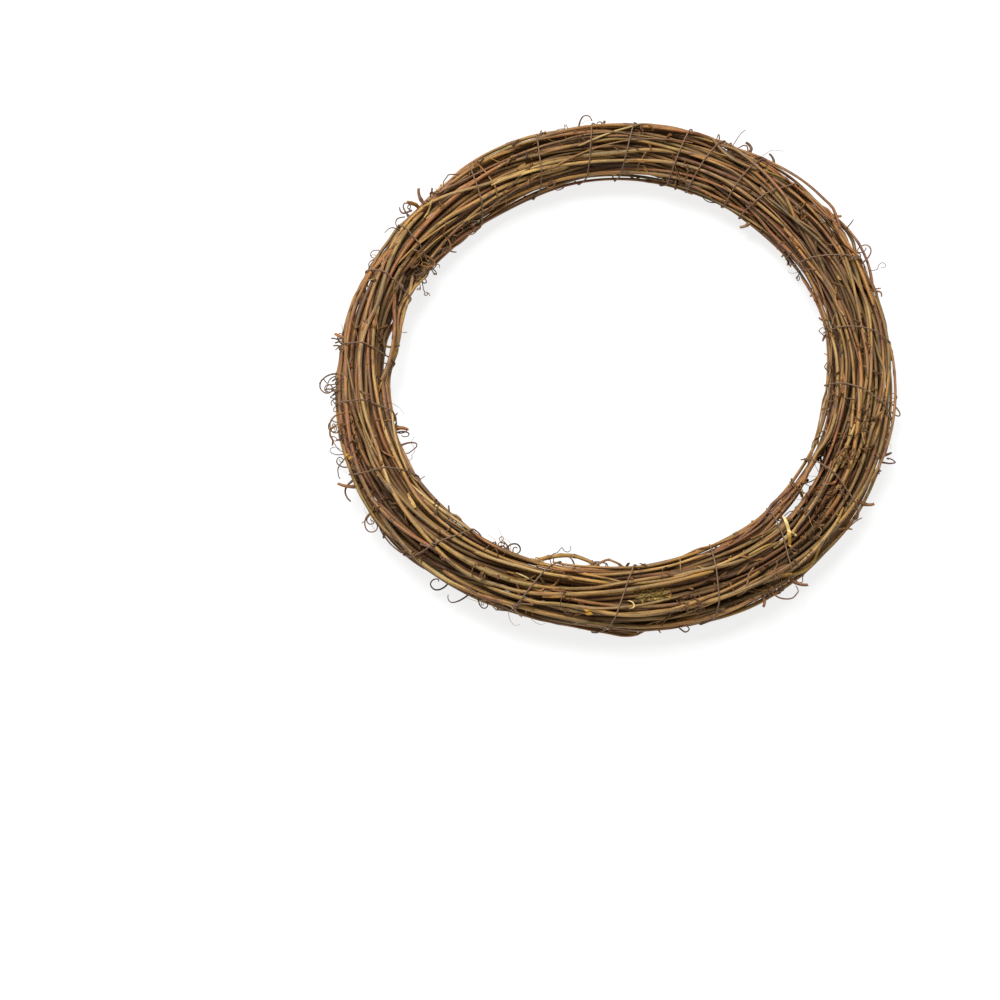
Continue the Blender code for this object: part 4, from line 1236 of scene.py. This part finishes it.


def stem(rng, offsets, first, last, step, sides, radius, closed, tone, begin=0):
    """A stem along section offsets from one station to another, with nodes, kinks and ragged ends."""
    length = (last - first) * STATION_LENGTH
    nodes = np.cumsum(rng.uniform(*NODE_APART, 160)) * MM - 20 * MM
    nodes = nodes[(nodes > 3 * MM) & (nodes < length - 3 * MM)]
    marks = np.linspace(0, length, int(length / step) + 1)
    if sides > 6 and len(nodes):
        marks = np.concatenate([marks, (nodes[:, None] + NODE_MARKS).ravel()])
        marks = np.sort(marks[(marks >= 0) & (marks <= length)])
        marks = marks[np.concatenate([[True], np.diff(marks) > 0.7 * MM])]
    gap = np.abs(marks[:, None] - nodes).min(1) if len(nodes) else np.full(len(marks), 1.0)
    knuckle = np.exp(-(gap / NODE_WIDTH) ** 2)
    spots = first + marks / STATION_LENGTH
    offset = through(offsets, spots, closed)
    kinks = [np.interp(marks, np.concatenate([[-MM], nodes, [length + MM]]), rng.normal(size=len(nodes) + 2))
             for _ in range(2)]
    offset = offset + np.stack(kinks, -1) * NODE_KINK
    angle = (begin + spots) * TURN / FINE
    slow = np.interp(marks, np.linspace(0, length, 8), rng.uniform(0.9, 1.1, 8))
    taper = 1 - END_TAPER * np.exp(-np.minimum(marks, length - marks) / END_LENGTH) * (not closed)
    size = radius * slow * (1.04 - 0.14 * marks / length) * (1 + NODE_SWELL * knuckle) * taper
    size = size * around(SLENDER, angle)
    side = np.arctan2(offset[:, 1], offset[:, 0])
    # Painted shade: the deeper a stem lies under the skin of the bundle, the darker it is drawn.
    painted_shade = np.clip((skin(angle, side) - np.linalg.norm(offset, axis=1) - size) / DEEPEST, 0, 1)
    own = tone + rng.normal() * 0.05 + around(TONE_SHIFT, angle)
    # The way of the side that gets no painted flank shade: outward, turned up towards the sky.
    outward = outward_at(angle, side) + (0, 0, SKYWARD)
    outward /= np.linalg.norm(outward, axis=-1, keepdims=True)
    return tubes(place(offset, angle)[None], size, sides, rng.uniform(0, 50), own, 0.06, knuckle, painted_shade,
                 ragged=0.5, outward=outward[None])


rng = np.random.default_rng(SEED + 5)
for number, (layer, start, end) in enumerate(runs):
    grids = []
    for strand in (0, 1):
        rows = slice(strand_first[2 * layer + strand], strand_first[2 * layer + strand + 1])
        first = (start - END_REACH) * FINE / STATIONS + rng.uniform(-1.0, 1.0)
        last = (end - 1 + END_REACH) * FINE / STATIONS + rng.uniform(-1.0, 1.0)
        step, sides = DETAIL[layer]
        grids.append(stem(rng, stem_offset[rows].reshape(-1, 2), first, last, step, sides,
                          stem_radius[rows].mean(), True, rng.uniform(0.15, 0.9)))
    slot = slots[number % len(slots)]
    name = f"vine_{number + 1:02d}"
    piece(name + "_stems", grids + shoots[number + 1], barks[slot], slot, [name])

# %% Stems and twigs on top
for kind, laid, step, sides in (("top_stems", top_stems, 3 * MM, 8), ("twigs", twigs, 2.6 * MM, 7)):
    for turn, slot in enumerate(slots):
        grids = [stem(rng, offset, 0.0, len(offset) - 1.0, step, sides, radius, False, tone - BARKS[slot],
                      start) for start, offset, radius, tone in laid[turn::len(slots)]]
        piece(kind + "_" + slot.split("_")[1], grids, barks[slot], slot)

# %% [markdown]
# ## All that sticks out and lies about
#
# What makes a real wreath look real is its litter: tendrils that curl out of it everywhere, hairs, the
# stubs of side shoots, strips of peeled bark, bits of broken twig and crumbs of bark that have caught
# between the stems. There are hundreds, so each kind is made in one go from arrays of seeded numbers. Each
# starts on the surface of the stems, which is looked up in the same way as for the stems on top.

# %% Places on the surface
def surface(angle, side, above=0.0):
    """World points on the stems' surface, or some way above it, at ring angles and section directions."""
    angle, side = np.broadcast_arrays(angle, side)
    whole, share = (values.ravel() for values in station_at(angle, FINE))
    heights = [np.nan_to_num(highest((whole + step) % FINE, side.ravel(), 0.0)) for step in (0, 1)]
    out = (heights[0] * (1 - share) + heights[1] * share).reshape(angle.shape) + above
    return place(out[..., None] * unit(side), angle)


def scatter(rng, count, low, high, clusters=(), share=0.35):
    """Seeded ring angles and section directions, in radians; some gather round given ring angles."""
    angle = np.radians(rng.uniform(0, 360, count))
    if len(clusters):
        gather = rng.uniform(size=count) < share
        near = rng.choice(clusters, count) + rng.normal(size=count) * 3.5
        angle = np.where(gather, np.radians(near), angle)
    return angle, np.radians(rng.uniform(low, high, count))


def drawn(rng, value, count):
    """Seeded values between a pair of ends, or the one value that is given."""
    return rng.uniform(*value, count) if isinstance(value, tuple) else value


def sprouts(rng, angle, side, sunk, length, curl, spread, points, bend, drift, rise, curls=None):
    """Shoots that start below the surface at given places. Depth, length and drift are in mm.

    A pair stands for seeded values between its ends, and curls is a list of factors to choose from.
    """
    count = len(angle)
    length = drawn(rng, length, count) * MM
    curl = (rng.choice(curls, count) if curls else 1) * drawn(rng, curl, count)
    way, lean = rng.choice((-1, 1), count), rng.normal(size=count) * spread
    drift = drawn(rng, drift, count) * MM
    rise = drawn(rng, rise, count)
    root = surface(angle, side, -sunk * MM)
    return shoot_paths(root, angle, side, length, curl, way, lean, points, bend, drift, rise)


def crooked(rng, path, size, bends=7):
    """Add a seeded zigzag to each path that grows from its root."""
    paths, points = path.shape[:2]
    share = np.linspace(0, 1, points)
    marks = np.linspace(0, 1, bends)
    kinks = rng.normal(size=(paths, 3, bends)) * size
    kinks = np.stack([np.stack([np.interp(share, marks, axis) for axis in one], -1) for one in kinks])
    return path + kinks * share[:, None] ** 0.7


def share_out(rng, path, radius, sides, tones, ribs, node=0.0, kinks=None, first=None, **shape):
    """Tubes of seeded tone between two ends, dealt out among the five barks so that neighbours differ."""
    for turn, slot in enumerate(slots):
        some = slice(turn, None, len(slots))
        mine = crooked(rng, path[some], *kinks) if kinks else path[some]
        start, tone = rng.uniform(0, 9, len(mine)), rng.uniform(*tones, len(mine))
        litter[slot].append(tubes(mine, radius[some], sides, start, tone, ribs, node,
                                  first=None if first is None else first[some], **shape))


def lying(rng, angle, side, length, heading, points, radius, lifted=0.0):
    """Paths that lie on the surface from given places, each in its own heading from the ring's way.

    The heading turns at a seeded rate, by about half a radian in 20 mm. Both ends may be lifted off.
    """
    run = np.linspace(0, 1, points) * np.asarray(length)[:, None]
    turn = heading[:, None] + rng.normal(size=(len(angle), 1)) * 0.5 * run / 0.02
    step = np.diff(run, axis=1, prepend=0)
    ring = angle[:, None] + np.cumsum(np.cos(turn) * step, 1) / RING_RADIUS
    about = side[:, None] + np.cumsum(np.sin(turn) * step, 1) / HALF_HEIGHT
    path = surface(ring, about, radius * 0.7)
    even_out(path.swapaxes(0, 1), 3)
    outward = outward_at(ring, about)
    share = np.linspace(-1, 1, points)[:, None] ** 2
    return path + outward * share * np.reshape(lifted, (-1, 1, 1)), outward


# Ring angles where shoots gather, and the tangles as ring angle and section direction
CLUSTERS = (24, 57, 95, 108, 137, 146, 172, 184, 197, 211, 240, 262, 300, 318, 326, 338, 350)
TANGLES = (
    (24, 20), (57, 25), (96, 40), (137, 160), (146, 168), (152, 172), (172, 10), (183, 8), (188, 30),
    (190, 34), (192, 10), (193, 16), (194, 30), (195, 24), (196, 20), (197, 34), (199, 28), (201, 40),
    (211, 14), (212, 40), (226, 52), (239, 172), (240, 70), (241, 20), (258, 60), (265, 168), (283, 50),
    (284, 60), (286, 46), (292, 70), (301, 15), (302, 32), (307, 36), (314, 62), (318, 55), (320, 75),
    (323, 105), (326, 80), (331, 95), (334, 85), (338, 12), (338, 70), (343, 60), (347, 80), (350, 50),
    (351, 160), (2, 90), (8, 150), (24, 55), (38, 75), (50, 60), (121, 75), (131, 42), (133, 70),
    (118, 150), (70, 150), (82, 60), (104, 62), (225, 40), (96, 95), (108, 80))
rng = np.random.default_rng(SEED + 6)
litter = {slot: [] for slot in slots}

# %% Tendrils
count = 150
angle, side = scatter(rng, count, -50, 230, CLUSTERS)
path = sprouts(rng, angle, side, 0.8, (7, 22), (0.8, 1.2), 0.9, 34, 0.9, (1, 2.6), (0.1, 1.15),
               curls=(0.25, 0.5, 0.9, 1.3, 1.7))
path = crooked(rng, path, 0.32 * MM)
radius = np.linspace(1.25, 0.6, 34) * rng.uniform(0.22, 0.42, count)[:, None] * MM
share_out(rng, path, radius, 5, (0.0, 0.25), 0.05, 0.5)
print(count, "tendrils")

# %% Tangles of thin tendrils
IN_A_TANGLE = 7
angle, side = (np.radians(np.repeat(values, IN_A_TANGLE)) for values in zip(*TANGLES))
count = len(angle)
angle, side = angle + rng.normal(size=count) * 0.022, side + rng.normal(size=count) * 0.16
path = sprouts(rng, angle, side, 0.6, (4, 14), (0.3, 2.2), 1.1, 30, 0.9, (0.5, 3.0), (0.0, 1.2))
path = crooked(rng, path, 0.55 * MM, 10)
radius = np.linspace(1.3, 0.7, 30) * rng.uniform(0.18, 0.38, count)[:, None] * MM
on_top = (np.degrees(side) > 40) & (np.degrees(side) < 140)
for some, slot, palest in ((on_top, "bark_brown", 0.6), (~on_top, "bark_dark", 0.3)):
    litter[slot].append(tubes(path[some], radius[some], 5, rng.uniform(0, 9, some.sum()),
                              rng.uniform(0.0, palest, some.sum()), 0.05, 0.5))
print(len(TANGLES), "tangles")

# %% Pale hairs
count = 46
angle, side = scatter(rng, count, -30, 210, CLUSTERS)
path = sprouts(rng, angle, side, 0.5, (9, 20), (0, 0.35), 0.8, 20, 0.6, 1, (0.2, 1.25))
litter["bark_straw"].append(tubes(crooked(rng, path, 0.25 * MM, 5), np.linspace(0.17, 0.08, 20) * MM, 4,
                                  rng.uniform(0, 9, count), rng.uniform(0.3, 1.0, count)))
print(count, "hairs")

# %% Curls that stand out against the floor
# Half width and height in mm, then ring angle and place across in mm, over and over
CURLS = (
    (0.3, 2, 182.1, 12.9, 180.9, 14.3, 180.1, 14.9, 180, 16.3, 180.6, 18.2, 181.3, 19.1, 181, 20.3, 180.4,
     21.4, 180.5, 22.4, 181.1, 23.2, 181.3, 23.9),
    (0.28, 1, 181.4, 13.1, 181.6, 16.9, 181.7, 18.9, 182.4, 19.9, 183.1, 19.1, 183.1, 16.6, 182.5, 14.4),
    (0.5, 3, 183.4, 11.7, 183.1, 16, 182.9, 18.9, 183, 20.8),
    (0.3, 2, 183.7, 14.4, 184.5, 17.7, 184.8, 16.4, 185.1, 13.3),
    (0.28, 2, 185.2, 13.3, 185.2, 16.5, 185.8, 17.6, 186.4, 17.1),
    (0.26, 2, 186.2, 13.4, 186.8, 16.3, 187.6, 16.4, 187.5, 14),
    (0.3, 2, 190.5, 14.2, 189.9, 16.8, 189.6, 18.3, 190.2, 20.1, 191.1, 20.6, 191.8, 19.5, 192, 17.1, 191.1,
     16.4, 190.3, 17.4, 190.7, 18.6),
    (0.6, 3, 191, 16.5, 191.5, 18.9, 192.1, 20.2, 193.2, 20.4, 194, 19.7, 194.9, 20.5),
    (0.25, 2, 192.8, 20.5, 192.9, 18.5, 193.4, 17.4, 193.9, 18.3, 193.6, 19.6),
    (0.22, 2, 197.2, 14.2, 197.1, 17.8, 196.7, 20.5, 196, 22.3, 195.4, 22, 195.2, 20.2, 195.4, 18.5, 196,
     17), (0.22, 2, 193.8, 19.7, 194.6, 19, 195.9, 17.7, 197.1, 14.6),
    (0.55, 2, 172.1, 10.9, 173, 13.4, 173, 15.8, 173.1, 17.8),
    (0.4, 2, 172.9, 12.7, 173.3, 14.8, 174, 16.2), (0.45, 2, 170.5, 11.6, 171.8, 11.7, 172.5, 13.3),
    (0.34, 2, 192.6, -12.4, 194.1, -16.1, 194.6, -18.9, 195.3, -20.9, 196, -19.7, 196.1, -16.6, 195.4,
     -14.4, 194.1, -13.2), (0.3, 2, 193, -12.3, 194.7, -16.6, 195.4, -18.5, 195.5, -20.5),
    (0.14, 2, 204.8, -12.2, 204.3, -15.6, 203.9, -18, 203.3, -18, 202.7, -20, 201.7, -21.1, 199.9, -20.6,
     198.4, -23.3),
    (0.3, 0, 149.4, -13, 149.9, -17, 150.6, -18.7, 151.2, -17.7, 150.8, -16.1, 152.1, -18.2, 153, -19.5,
     153.7, -21.1, 154.3, -21.1, 154.3, -22.5, 153.6, -22.7, 153.5, -21.5, 153.5, -23.1, 154.1, -24.4),
    (0.32, 0, 146.2, -14.4, 146.1, -17.9, 146.3, -19.5, 147, -20.8, 147.1, -19.3),
    (0.3, 2, 240.2, -12.8, 240, -15.2, 238.8, -14.6, 238, -15.5, 238.4, -17.1, 237.8, -18, 236.9, -18.3,
     236.4, -19.5, 236.7, -20.7, 237.4, -20.3, 237.4, -18.9),
    (0.6, 0, 202.7, 14.4, 203.4, 19.6, 204.3, 22.1, 205.6, 22.7, 206.7, 22),
    (0.34, 0, 210.8, 14.7, 211.4, 19.4, 212.5, 19.7, 212.8, 17.3, 211.9, 18),
    (0.32, 0, 211.1, 17.4, 211.6, 20.5, 211.7, 23),
    (0.5, -1, 211.9, 14, 214.8, 16.7, 216.8, 17.5, 218.9, 17.7, 221.3, 17),
    (0.26, 6, 252.4, -11.6, 251.3, -15.3, 251.6, -18.2, 252.6, -19.6, 253, -21.3, 253.5, -22.7, 254.3,
     -21.2, 255.4, -21.1, 255.9, -23, 255.5, -24.9),
    (0.38, 4, 261.4, -14.2, 262.7, -17.9, 264.1, -18.4, 266.1, -17.5, 266.7, -14.4),
    (0.5, 2, 136.9, 14, 138.6, 15.9, 138.7, 18.2, 138.1, 20.4),
    (0.36, 2, 137, 14.1, 137, 16.9, 136.2, 17.6, 135.7, 15.2),
    (0.36, 2, 139.1, 14.2, 140.5, 16.2, 141.6, 15.4, 142.2, 13.2),
    (0.42, 2, 139.8, -15.1, 139, -19.7, 138.4, -22), (0.36, 1, 132.3, -18, 130.8, -20.5, 128.9, -20.1),
    (0.3, 1, 147.6, -14.4, 146.4, -17.8, 145.5, -18.3, 144.7, -18.1, 144.5, -19.5, 145.1, -20.4),
    (0.3, 1, 146.8, -14.7, 146.8, -17.5, 147.6, -20.2, 146.8, -20.5, 146.5, -19.2),
    (0.25, 2, 61.6, 18.7, 61.4, 24.8, 61.2, 28.9, 60.8, 31.7),
    (0.9, 2, 56.8, 15, 57.8, 20.4, 58.1, 23.8, 58.9, 25.1, 59.5, 24.7),
    (0.8, 2, 51.7, 18.1, 52.6, 22.5, 53.7, 24.5, 54.2, 25.2), (0.35, 3, 31.6, 21.2, 32.2, 25.8, 32.4, 27.3),
    (0.2, 2, 21.1, 19.1, 20.7, 23, 21.3, 24.6, 21.5, 26, 21.5, 27.7, 20.9, 28.4, 20.5, 27.2, 20.9, 25.9),
    (0.12, 3, 55.1, 21.3, 54.3, 27.2, 53.3, 29.3, 52.1, 31), (0.45, 3, 16.9, 12.3, 16.6, 16.7, 16.5, 20.5),
    (0.5, 3, 16.6, 15.5, 15.6, 19.3, 14.7, 19.3))
rng = np.random.default_rng(SEED + 8)
for width, height, *way in CURLS:
    way = np.array(way).reshape(-1, 2)
    share = np.linspace(0, 1, 5 * len(way) - 4)
    way = through(way, share * (len(way) - 1), closed=False)
    ring, height = np.radians(way[:, 0]), height * MM + rng.normal() * MM * np.sin(np.pi * share)
    path = place(np.stack([way[:, 1] * MM, height], -1), ring)
    litter["bark_dark"].append(tubes(path[None], width * MM * (1.15 - 0.4 * share), 6, rng.uniform(0, 9),
                                     0.34 if width > 0.44 else 0.16, 0.06, 0.35, ragged=0.4))
print(len(CURLS), "curls")

# %% Stubs of side shoots, at all angles to the stems
count = 150
angle, side = scatter(rng, count, -40, 220, CLUSTERS)
path = sprouts(rng, angle, side, 1.2, (2.6, 6.5), 0.0, 0.7, 7, 0.5, 1, (0.3, 1.35))
share = np.linspace(0, 1, 7)
profile = 1.15 - 0.35 * share + 0.3 * knuckle_at(share, 0.35, 0.02)
radius = rng.uniform(0.42, 0.85, count)[:, None] * MM * profile
share_out(rng, path, radius, 7, (0.0, 0.6), 0.07, 0.6, ragged=0.6)
print(count, "stubs")

# %% Strips of peeled bark, laid flat
count = 110
angle, side = scatter(rng, count, -50, 230, CLUSTERS, 0.25)
length = rng.uniform(5, 17, count) * MM
path, outward = lying(rng, angle, side, length, rng.normal(size=count) * 0.35, 12, 0.3 * MM,
                      rng.uniform(0, 2.2, count) * MM)
along = path[:, 1] - path[:, 0]
wide = np.cross(outward[:, 0], along)
wide /= np.linalg.norm(wide, axis=-1, keepdims=True)
profile = 0.35 + 0.65 * np.sin(np.pi * np.linspace(0.06, 0.9, 12))
radius = rng.uniform(0.5, 1.15, count)[:, None] * MM * profile
share_out(rng, path, radius, 6, (0.35, 1.0), 0.0, flat=0.2, first=wide)
print(count, "strips of bark")

# %% Broken twigs
count = 60
angle, side = scatter(rng, count, -40, 220)
path, _ = lying(rng, angle, side, rng.uniform(8, 22, count) * MM, rng.normal(size=count) * 0.8, 12, 0.6 * MM,
                rng.uniform(-0.6, 1.5, count) * MM)
radius = rng.uniform(0.3, 0.7, count)[:, None] * MM * np.linspace(1.1, 0.8, 12)
share_out(rng, path, radius, 6, (0.0, 0.9), 0.06, 0.2, kinks=(0.3 * MM, 5), ragged=0.8)
print(count, "broken twigs")

# %% Crumbs of bark
count = 260
angle, side = scatter(rng, count, -40, 220, CLUSTERS)
length = rng.uniform(0.9, 3.2, count) * MM
path, _ = lying(rng, angle, side, length, rng.uniform(0, TURN, count), 4, -0.4 * MM)
radius = rng.uniform(0.3, 0.8, count)[:, None] * MM * (0.35, 1.0, 0.85, 0.3)
share_out(rng, path, radius, 5, (0.0, 0.8), 0.1, 0.3, flat=0.55)
for slot in slots:
    piece("litter_" + slot.split("_")[1], litter[slot], barks[slot], slot)

# %% [markdown]
# ## Moss, buds and a split shoot
#
# A few bright bits catch the eye: a patch of dry moss, two yellow buds, some shreds of straw, and a shoot
# that has split into two pale blades. They get a finish of their own, from olive through yellow to straw.
# A blade is a flat tube with a pointed end, laid through a few places that are given.

# %% Finish of the bright bits
bright = Finish("moss and straw", 0.55)
grain_vector, _ = bright.attribute("grain")
_, (tone, _node, _painted_shade) = bright.attribute("looks")
veins = bright.noise(grain_vector, (3.0, 3.0, 140.0), 3.0)
where = (tone + (veins - 0.5) * 0.35).clipped()
shades = bright.node("ValToRGB", {"stops": ((0.0, paint(92, 76, 36)), (0.3, paint(146, 122, 58)),
                                            (0.55, paint(204, 148, 34)), (0.8, paint(212, 186, 116)),
                                            (1.0, paint(240, 212, 142)))}, {"Fac": where})
bright.colour(bright.mix(veins.between(0.55, 0.7) * 0.5, shades, paint(104, 66, 24)))
bright.bump(veins, 0.2 * MM, 0.6)

# %% Blades and buds
# Tone, half width in mm and flatness, then ring angle, direction and height in mm, over and over
BLADES = (
    (1, 1, 0.35, 310.9, 90, 0.8, 311.4, 98, 1.5, 312.4, 114, 2.6, 313.5, 131, 3.2),
    (0.62, 1.1, 0.4, 309.3, 68, 0.6, 309.9, 80, 1.4, 310.6, 92, 1.8, 311, 99, 1.2),
    (0.85, 0.7, 0.6, 311.9, 79, 1, 311.7, 82, 1.5, 311.3, 88, 1.2),
    (0.36, 0.6, 0.5, 300, 98, 0.3, 303.7, 99, 0.5, 306.5, 96, 0.4),
    (0.5, 1, 0.8, 261.9, 44, 0.3, 262.7, 45, 1, 263.5, 44, 0.4),
    (0.56, 0.65, 0.8, 261.4, 49, 0.5, 262.2, 50, 1, 263, 49, 0.4),
    (0.56, 1.35, 0.7, 197.4, 10, 0.4, 198.2, 19, 1.1, 198.9, 28, 0.4),
    (0.5, 0.9, 0.7, 199.2, 24, 0.5, 199.4, 34, 1, 199.5, 44, 0.4),
    (0.95, 0.42, 1, 271, 66, 0.6, 272, 62, 1.5, 272, 57, 1.9, 271, 55, 1),
    (0.42, 0.85, 0.8, 297, 27, 0.2, 302, 24, 0.4, 307, 14, 0.4, 311, 8, 0.4, 314.5, 24, 0.4, 320, 28, 0.2),
    (0.9, 0.5, 0.6, 245, 95, 0.5, 247.5, 92, 0.9, 250, 90, 0.6),
    (0.78, 0.55, 0.4, 238, 66, 0.5, 240.5, 68, 1, 243, 72, 0.8),
    (0.7, 0.6, 0.4, 107, 128, 0.4, 110, 126, 0.9, 114, 127, 0.5))
grids = []
for tone, width, flat, *way in BLADES:
    way = np.array(way).reshape(-1, 3)
    share = np.linspace(0, 1, 16)
    way = through(way, share * (len(way) - 1), closed=False)
    ring, about = np.radians(way[:, 0]), np.radians(way[:, 1])
    path = surface(ring, about, way[:, 2] * MM)
    even_out(path, 3)
    outward = outward_at(ring, about)
    wide = np.cross(outward[0], path[1] - path[0])
    wide = wide / np.linalg.norm(wide)
    radius = width * MM * np.sin(np.pi * (0.14 + 0.84 * share)) ** 0.8
    grids.append(tubes(path[None], radius, 8, 3.1 * tone, tone, 0.05, flat=flat, first=wide[None]))

print(len(BLADES), "blades and buds")

# %% Moss: crumbs and short threads in a heap
rng = np.random.default_rng(SEED + 7)
count = 230
angle, side = np.radians(rng.uniform(272.2, 279.8, count)), np.radians(rng.uniform(66, 88, count))
length = rng.uniform(1.0, 2.6, count) * MM
path, _ = lying(rng, angle, side, length, rng.normal(size=count) * 0.6, 6, 0.3 * MM,
                rng.uniform(-0.7, 0.1, count) * MM)
radius = rng.uniform(0.26, 0.6, count)[:, None] * MM * (0.5, 1.0, 0.9, 1.0, 0.7, 0.3)
grids.append(tubes(path, radius, 5, rng.uniform(0, 9, count), rng.uniform(0.08, 0.42, count), 0.1, flat=0.7))
print(count, "bits of moss")
piece("bright_bits", grids, bright.material, "bark_straw")

# %% [markdown]
# ## The binding thread
#
# One thin brown thread winds round the bundle. It is pulled tight, so it lies on the skin that a taut
# string would make round the stems, and under the bundle it is pressed flat. Two plies are twisted
# together: the section is a little wider one way, and that way turns along the thread.

# %% Thread
THREAD_RADIUS, PLY_LENGTH, PLY_BULGE = 0.40 * MM, 2.6 * MM, 0.16
angle, side = thread_way(64)
out = skin(angle, side) + THREAD_RADIUS
path = place(out[:, None] * unit(side), angle)
path[:, 2] = np.maximum(path[:, 2], THREAD_RADIUS)
dense = through(path, np.arange(0, len(path), 0.25))
length = np.cumsum(np.linalg.norm(np.diff(dense, axis=0, prepend=dense[:1]), axis=1))
grid, grain, looks = tubes(dense[None], THREAD_RADIUS, 6)
middle = dense[None, :, None]
plies = 1 + PLY_BULGE * np.cos(2 * (np.arange(6) * TURN / 6 - TURN * length[:, None] / PLY_LENGTH))
grid = middle + (grid - middle) * plies[None, :, :, None]

thread_finish = Finish("thread", 0.8)
grain_vector, _ = thread_finish.attribute("grain")
fibre = thread_finish.noise(grain_vector, (3.0, 3.0, 900.0), 2.0)
fade = thread_finish.noise(grain_vector, (0.1, 0.1, 40.0), 1.0)
thread_finish.colour(thread_finish.mix(fibre.between(0.25, 0.65), paint(84, 62, 48),
                                       thread_finish.mix(fade, paint(122, 94, 72), paint(156, 124, 92))))
thread_finish.bump(fibre, 0.1 * MM, 0.6)
piece("thread_wound", [(grid, grain, looks)], thread_finish.material, "thread", ["binding_thread"],
      closed=True)
print("thread", round(float(length[-1]), 2), "m long")

# %% Knots: two turns about the thread and two loose ends
KNOTS = ((245.7, 32, 1.0), (226.8, 68, -1.0), (159.7, 131, 1.0))    # ring angle, direction, side of the ends
KNOT_SPREAD, KNOT_RADIUS, END_ASIDE, KNOT_TURNS = 7.0, 1.1, 5.0, 2.3    # mm, mm, mm and whole turns
share = np.linspace(0, 1, 64)
grids = []
for ring, about, way in KNOTS:
    turns_off = (side - np.radians(about)) / TURN
    nearest = (np.abs(turns_off - np.round(turns_off)) * TURN + 2 * np.abs(angle - np.radians(ring))).argmin()
    ring, about = angle[nearest], side[nearest]
    outward = outward_at(ring, about)
    along = np.array([-np.sin(ring), np.cos(ring), 0.0])
    across = np.cross(outward, along)
    out = float(skin(np.array([ring]), np.array([about]))[0]) + 0.5 * MM
    middle = place(out * unit(about)[None], np.array([ring]))[0]
    turn = KNOT_TURNS * TURN * np.clip((share - 0.3) / 0.4, 0, 1)[:, None]
    loose = np.maximum(np.abs(share - 0.5) - 0.2, 0)[:, None] / 0.3
    coil = KNOT_RADIUS * MM * ((1 + 1.4 * loose) * (np.cos(turn) * outward + np.sin(turn) * along))
    path = middle + across * (share[:, None] - 0.5) * KNOT_SPREAD * MM + coil
    path = path + way * END_ASIDE * MM * loose ** 1.5 * along
    grids.append(tubes(path[None], THREAD_RADIUS, 6))
piece("thread_knots", grids, thread_finish.material, "thread")

# %% [markdown]
# ## The floor
#
# A white sheet that is far larger than the view, just under the lowest winding. It glows faintly, as a
# light table does, which keeps the shadows as pale as they are in a light tent.

# %% Floor
FLOOR_HALF, FLOOR_DROP = 40, 0.3 * MM
corners = [(x * FLOOR_HALF, y * FLOOR_HALF, 0) for x, y in ((-1, -1), (1, -1), (1, 1), (-1, 1))]
floor = bpy.data.meshes.new("floor")
floor.from_pydata(corners, [], [(0, 1, 2, 3)])
floor.transform(Matrix.Translation((0, 0, -FLOOR_DROP)))
white = Finish("white floor", 0.9, Emission_Color=(1, 1, 1, 1), Emission_Strength=0.80)
white.colour((0.22, 0.22, 0.22, 1))
floor.materials.append(white.material)
stage = bpy.data.objects.new("floor", floor)
scene.collection.objects.link(stage)

# %% Update the scene
bpy.context.view_layer.update()
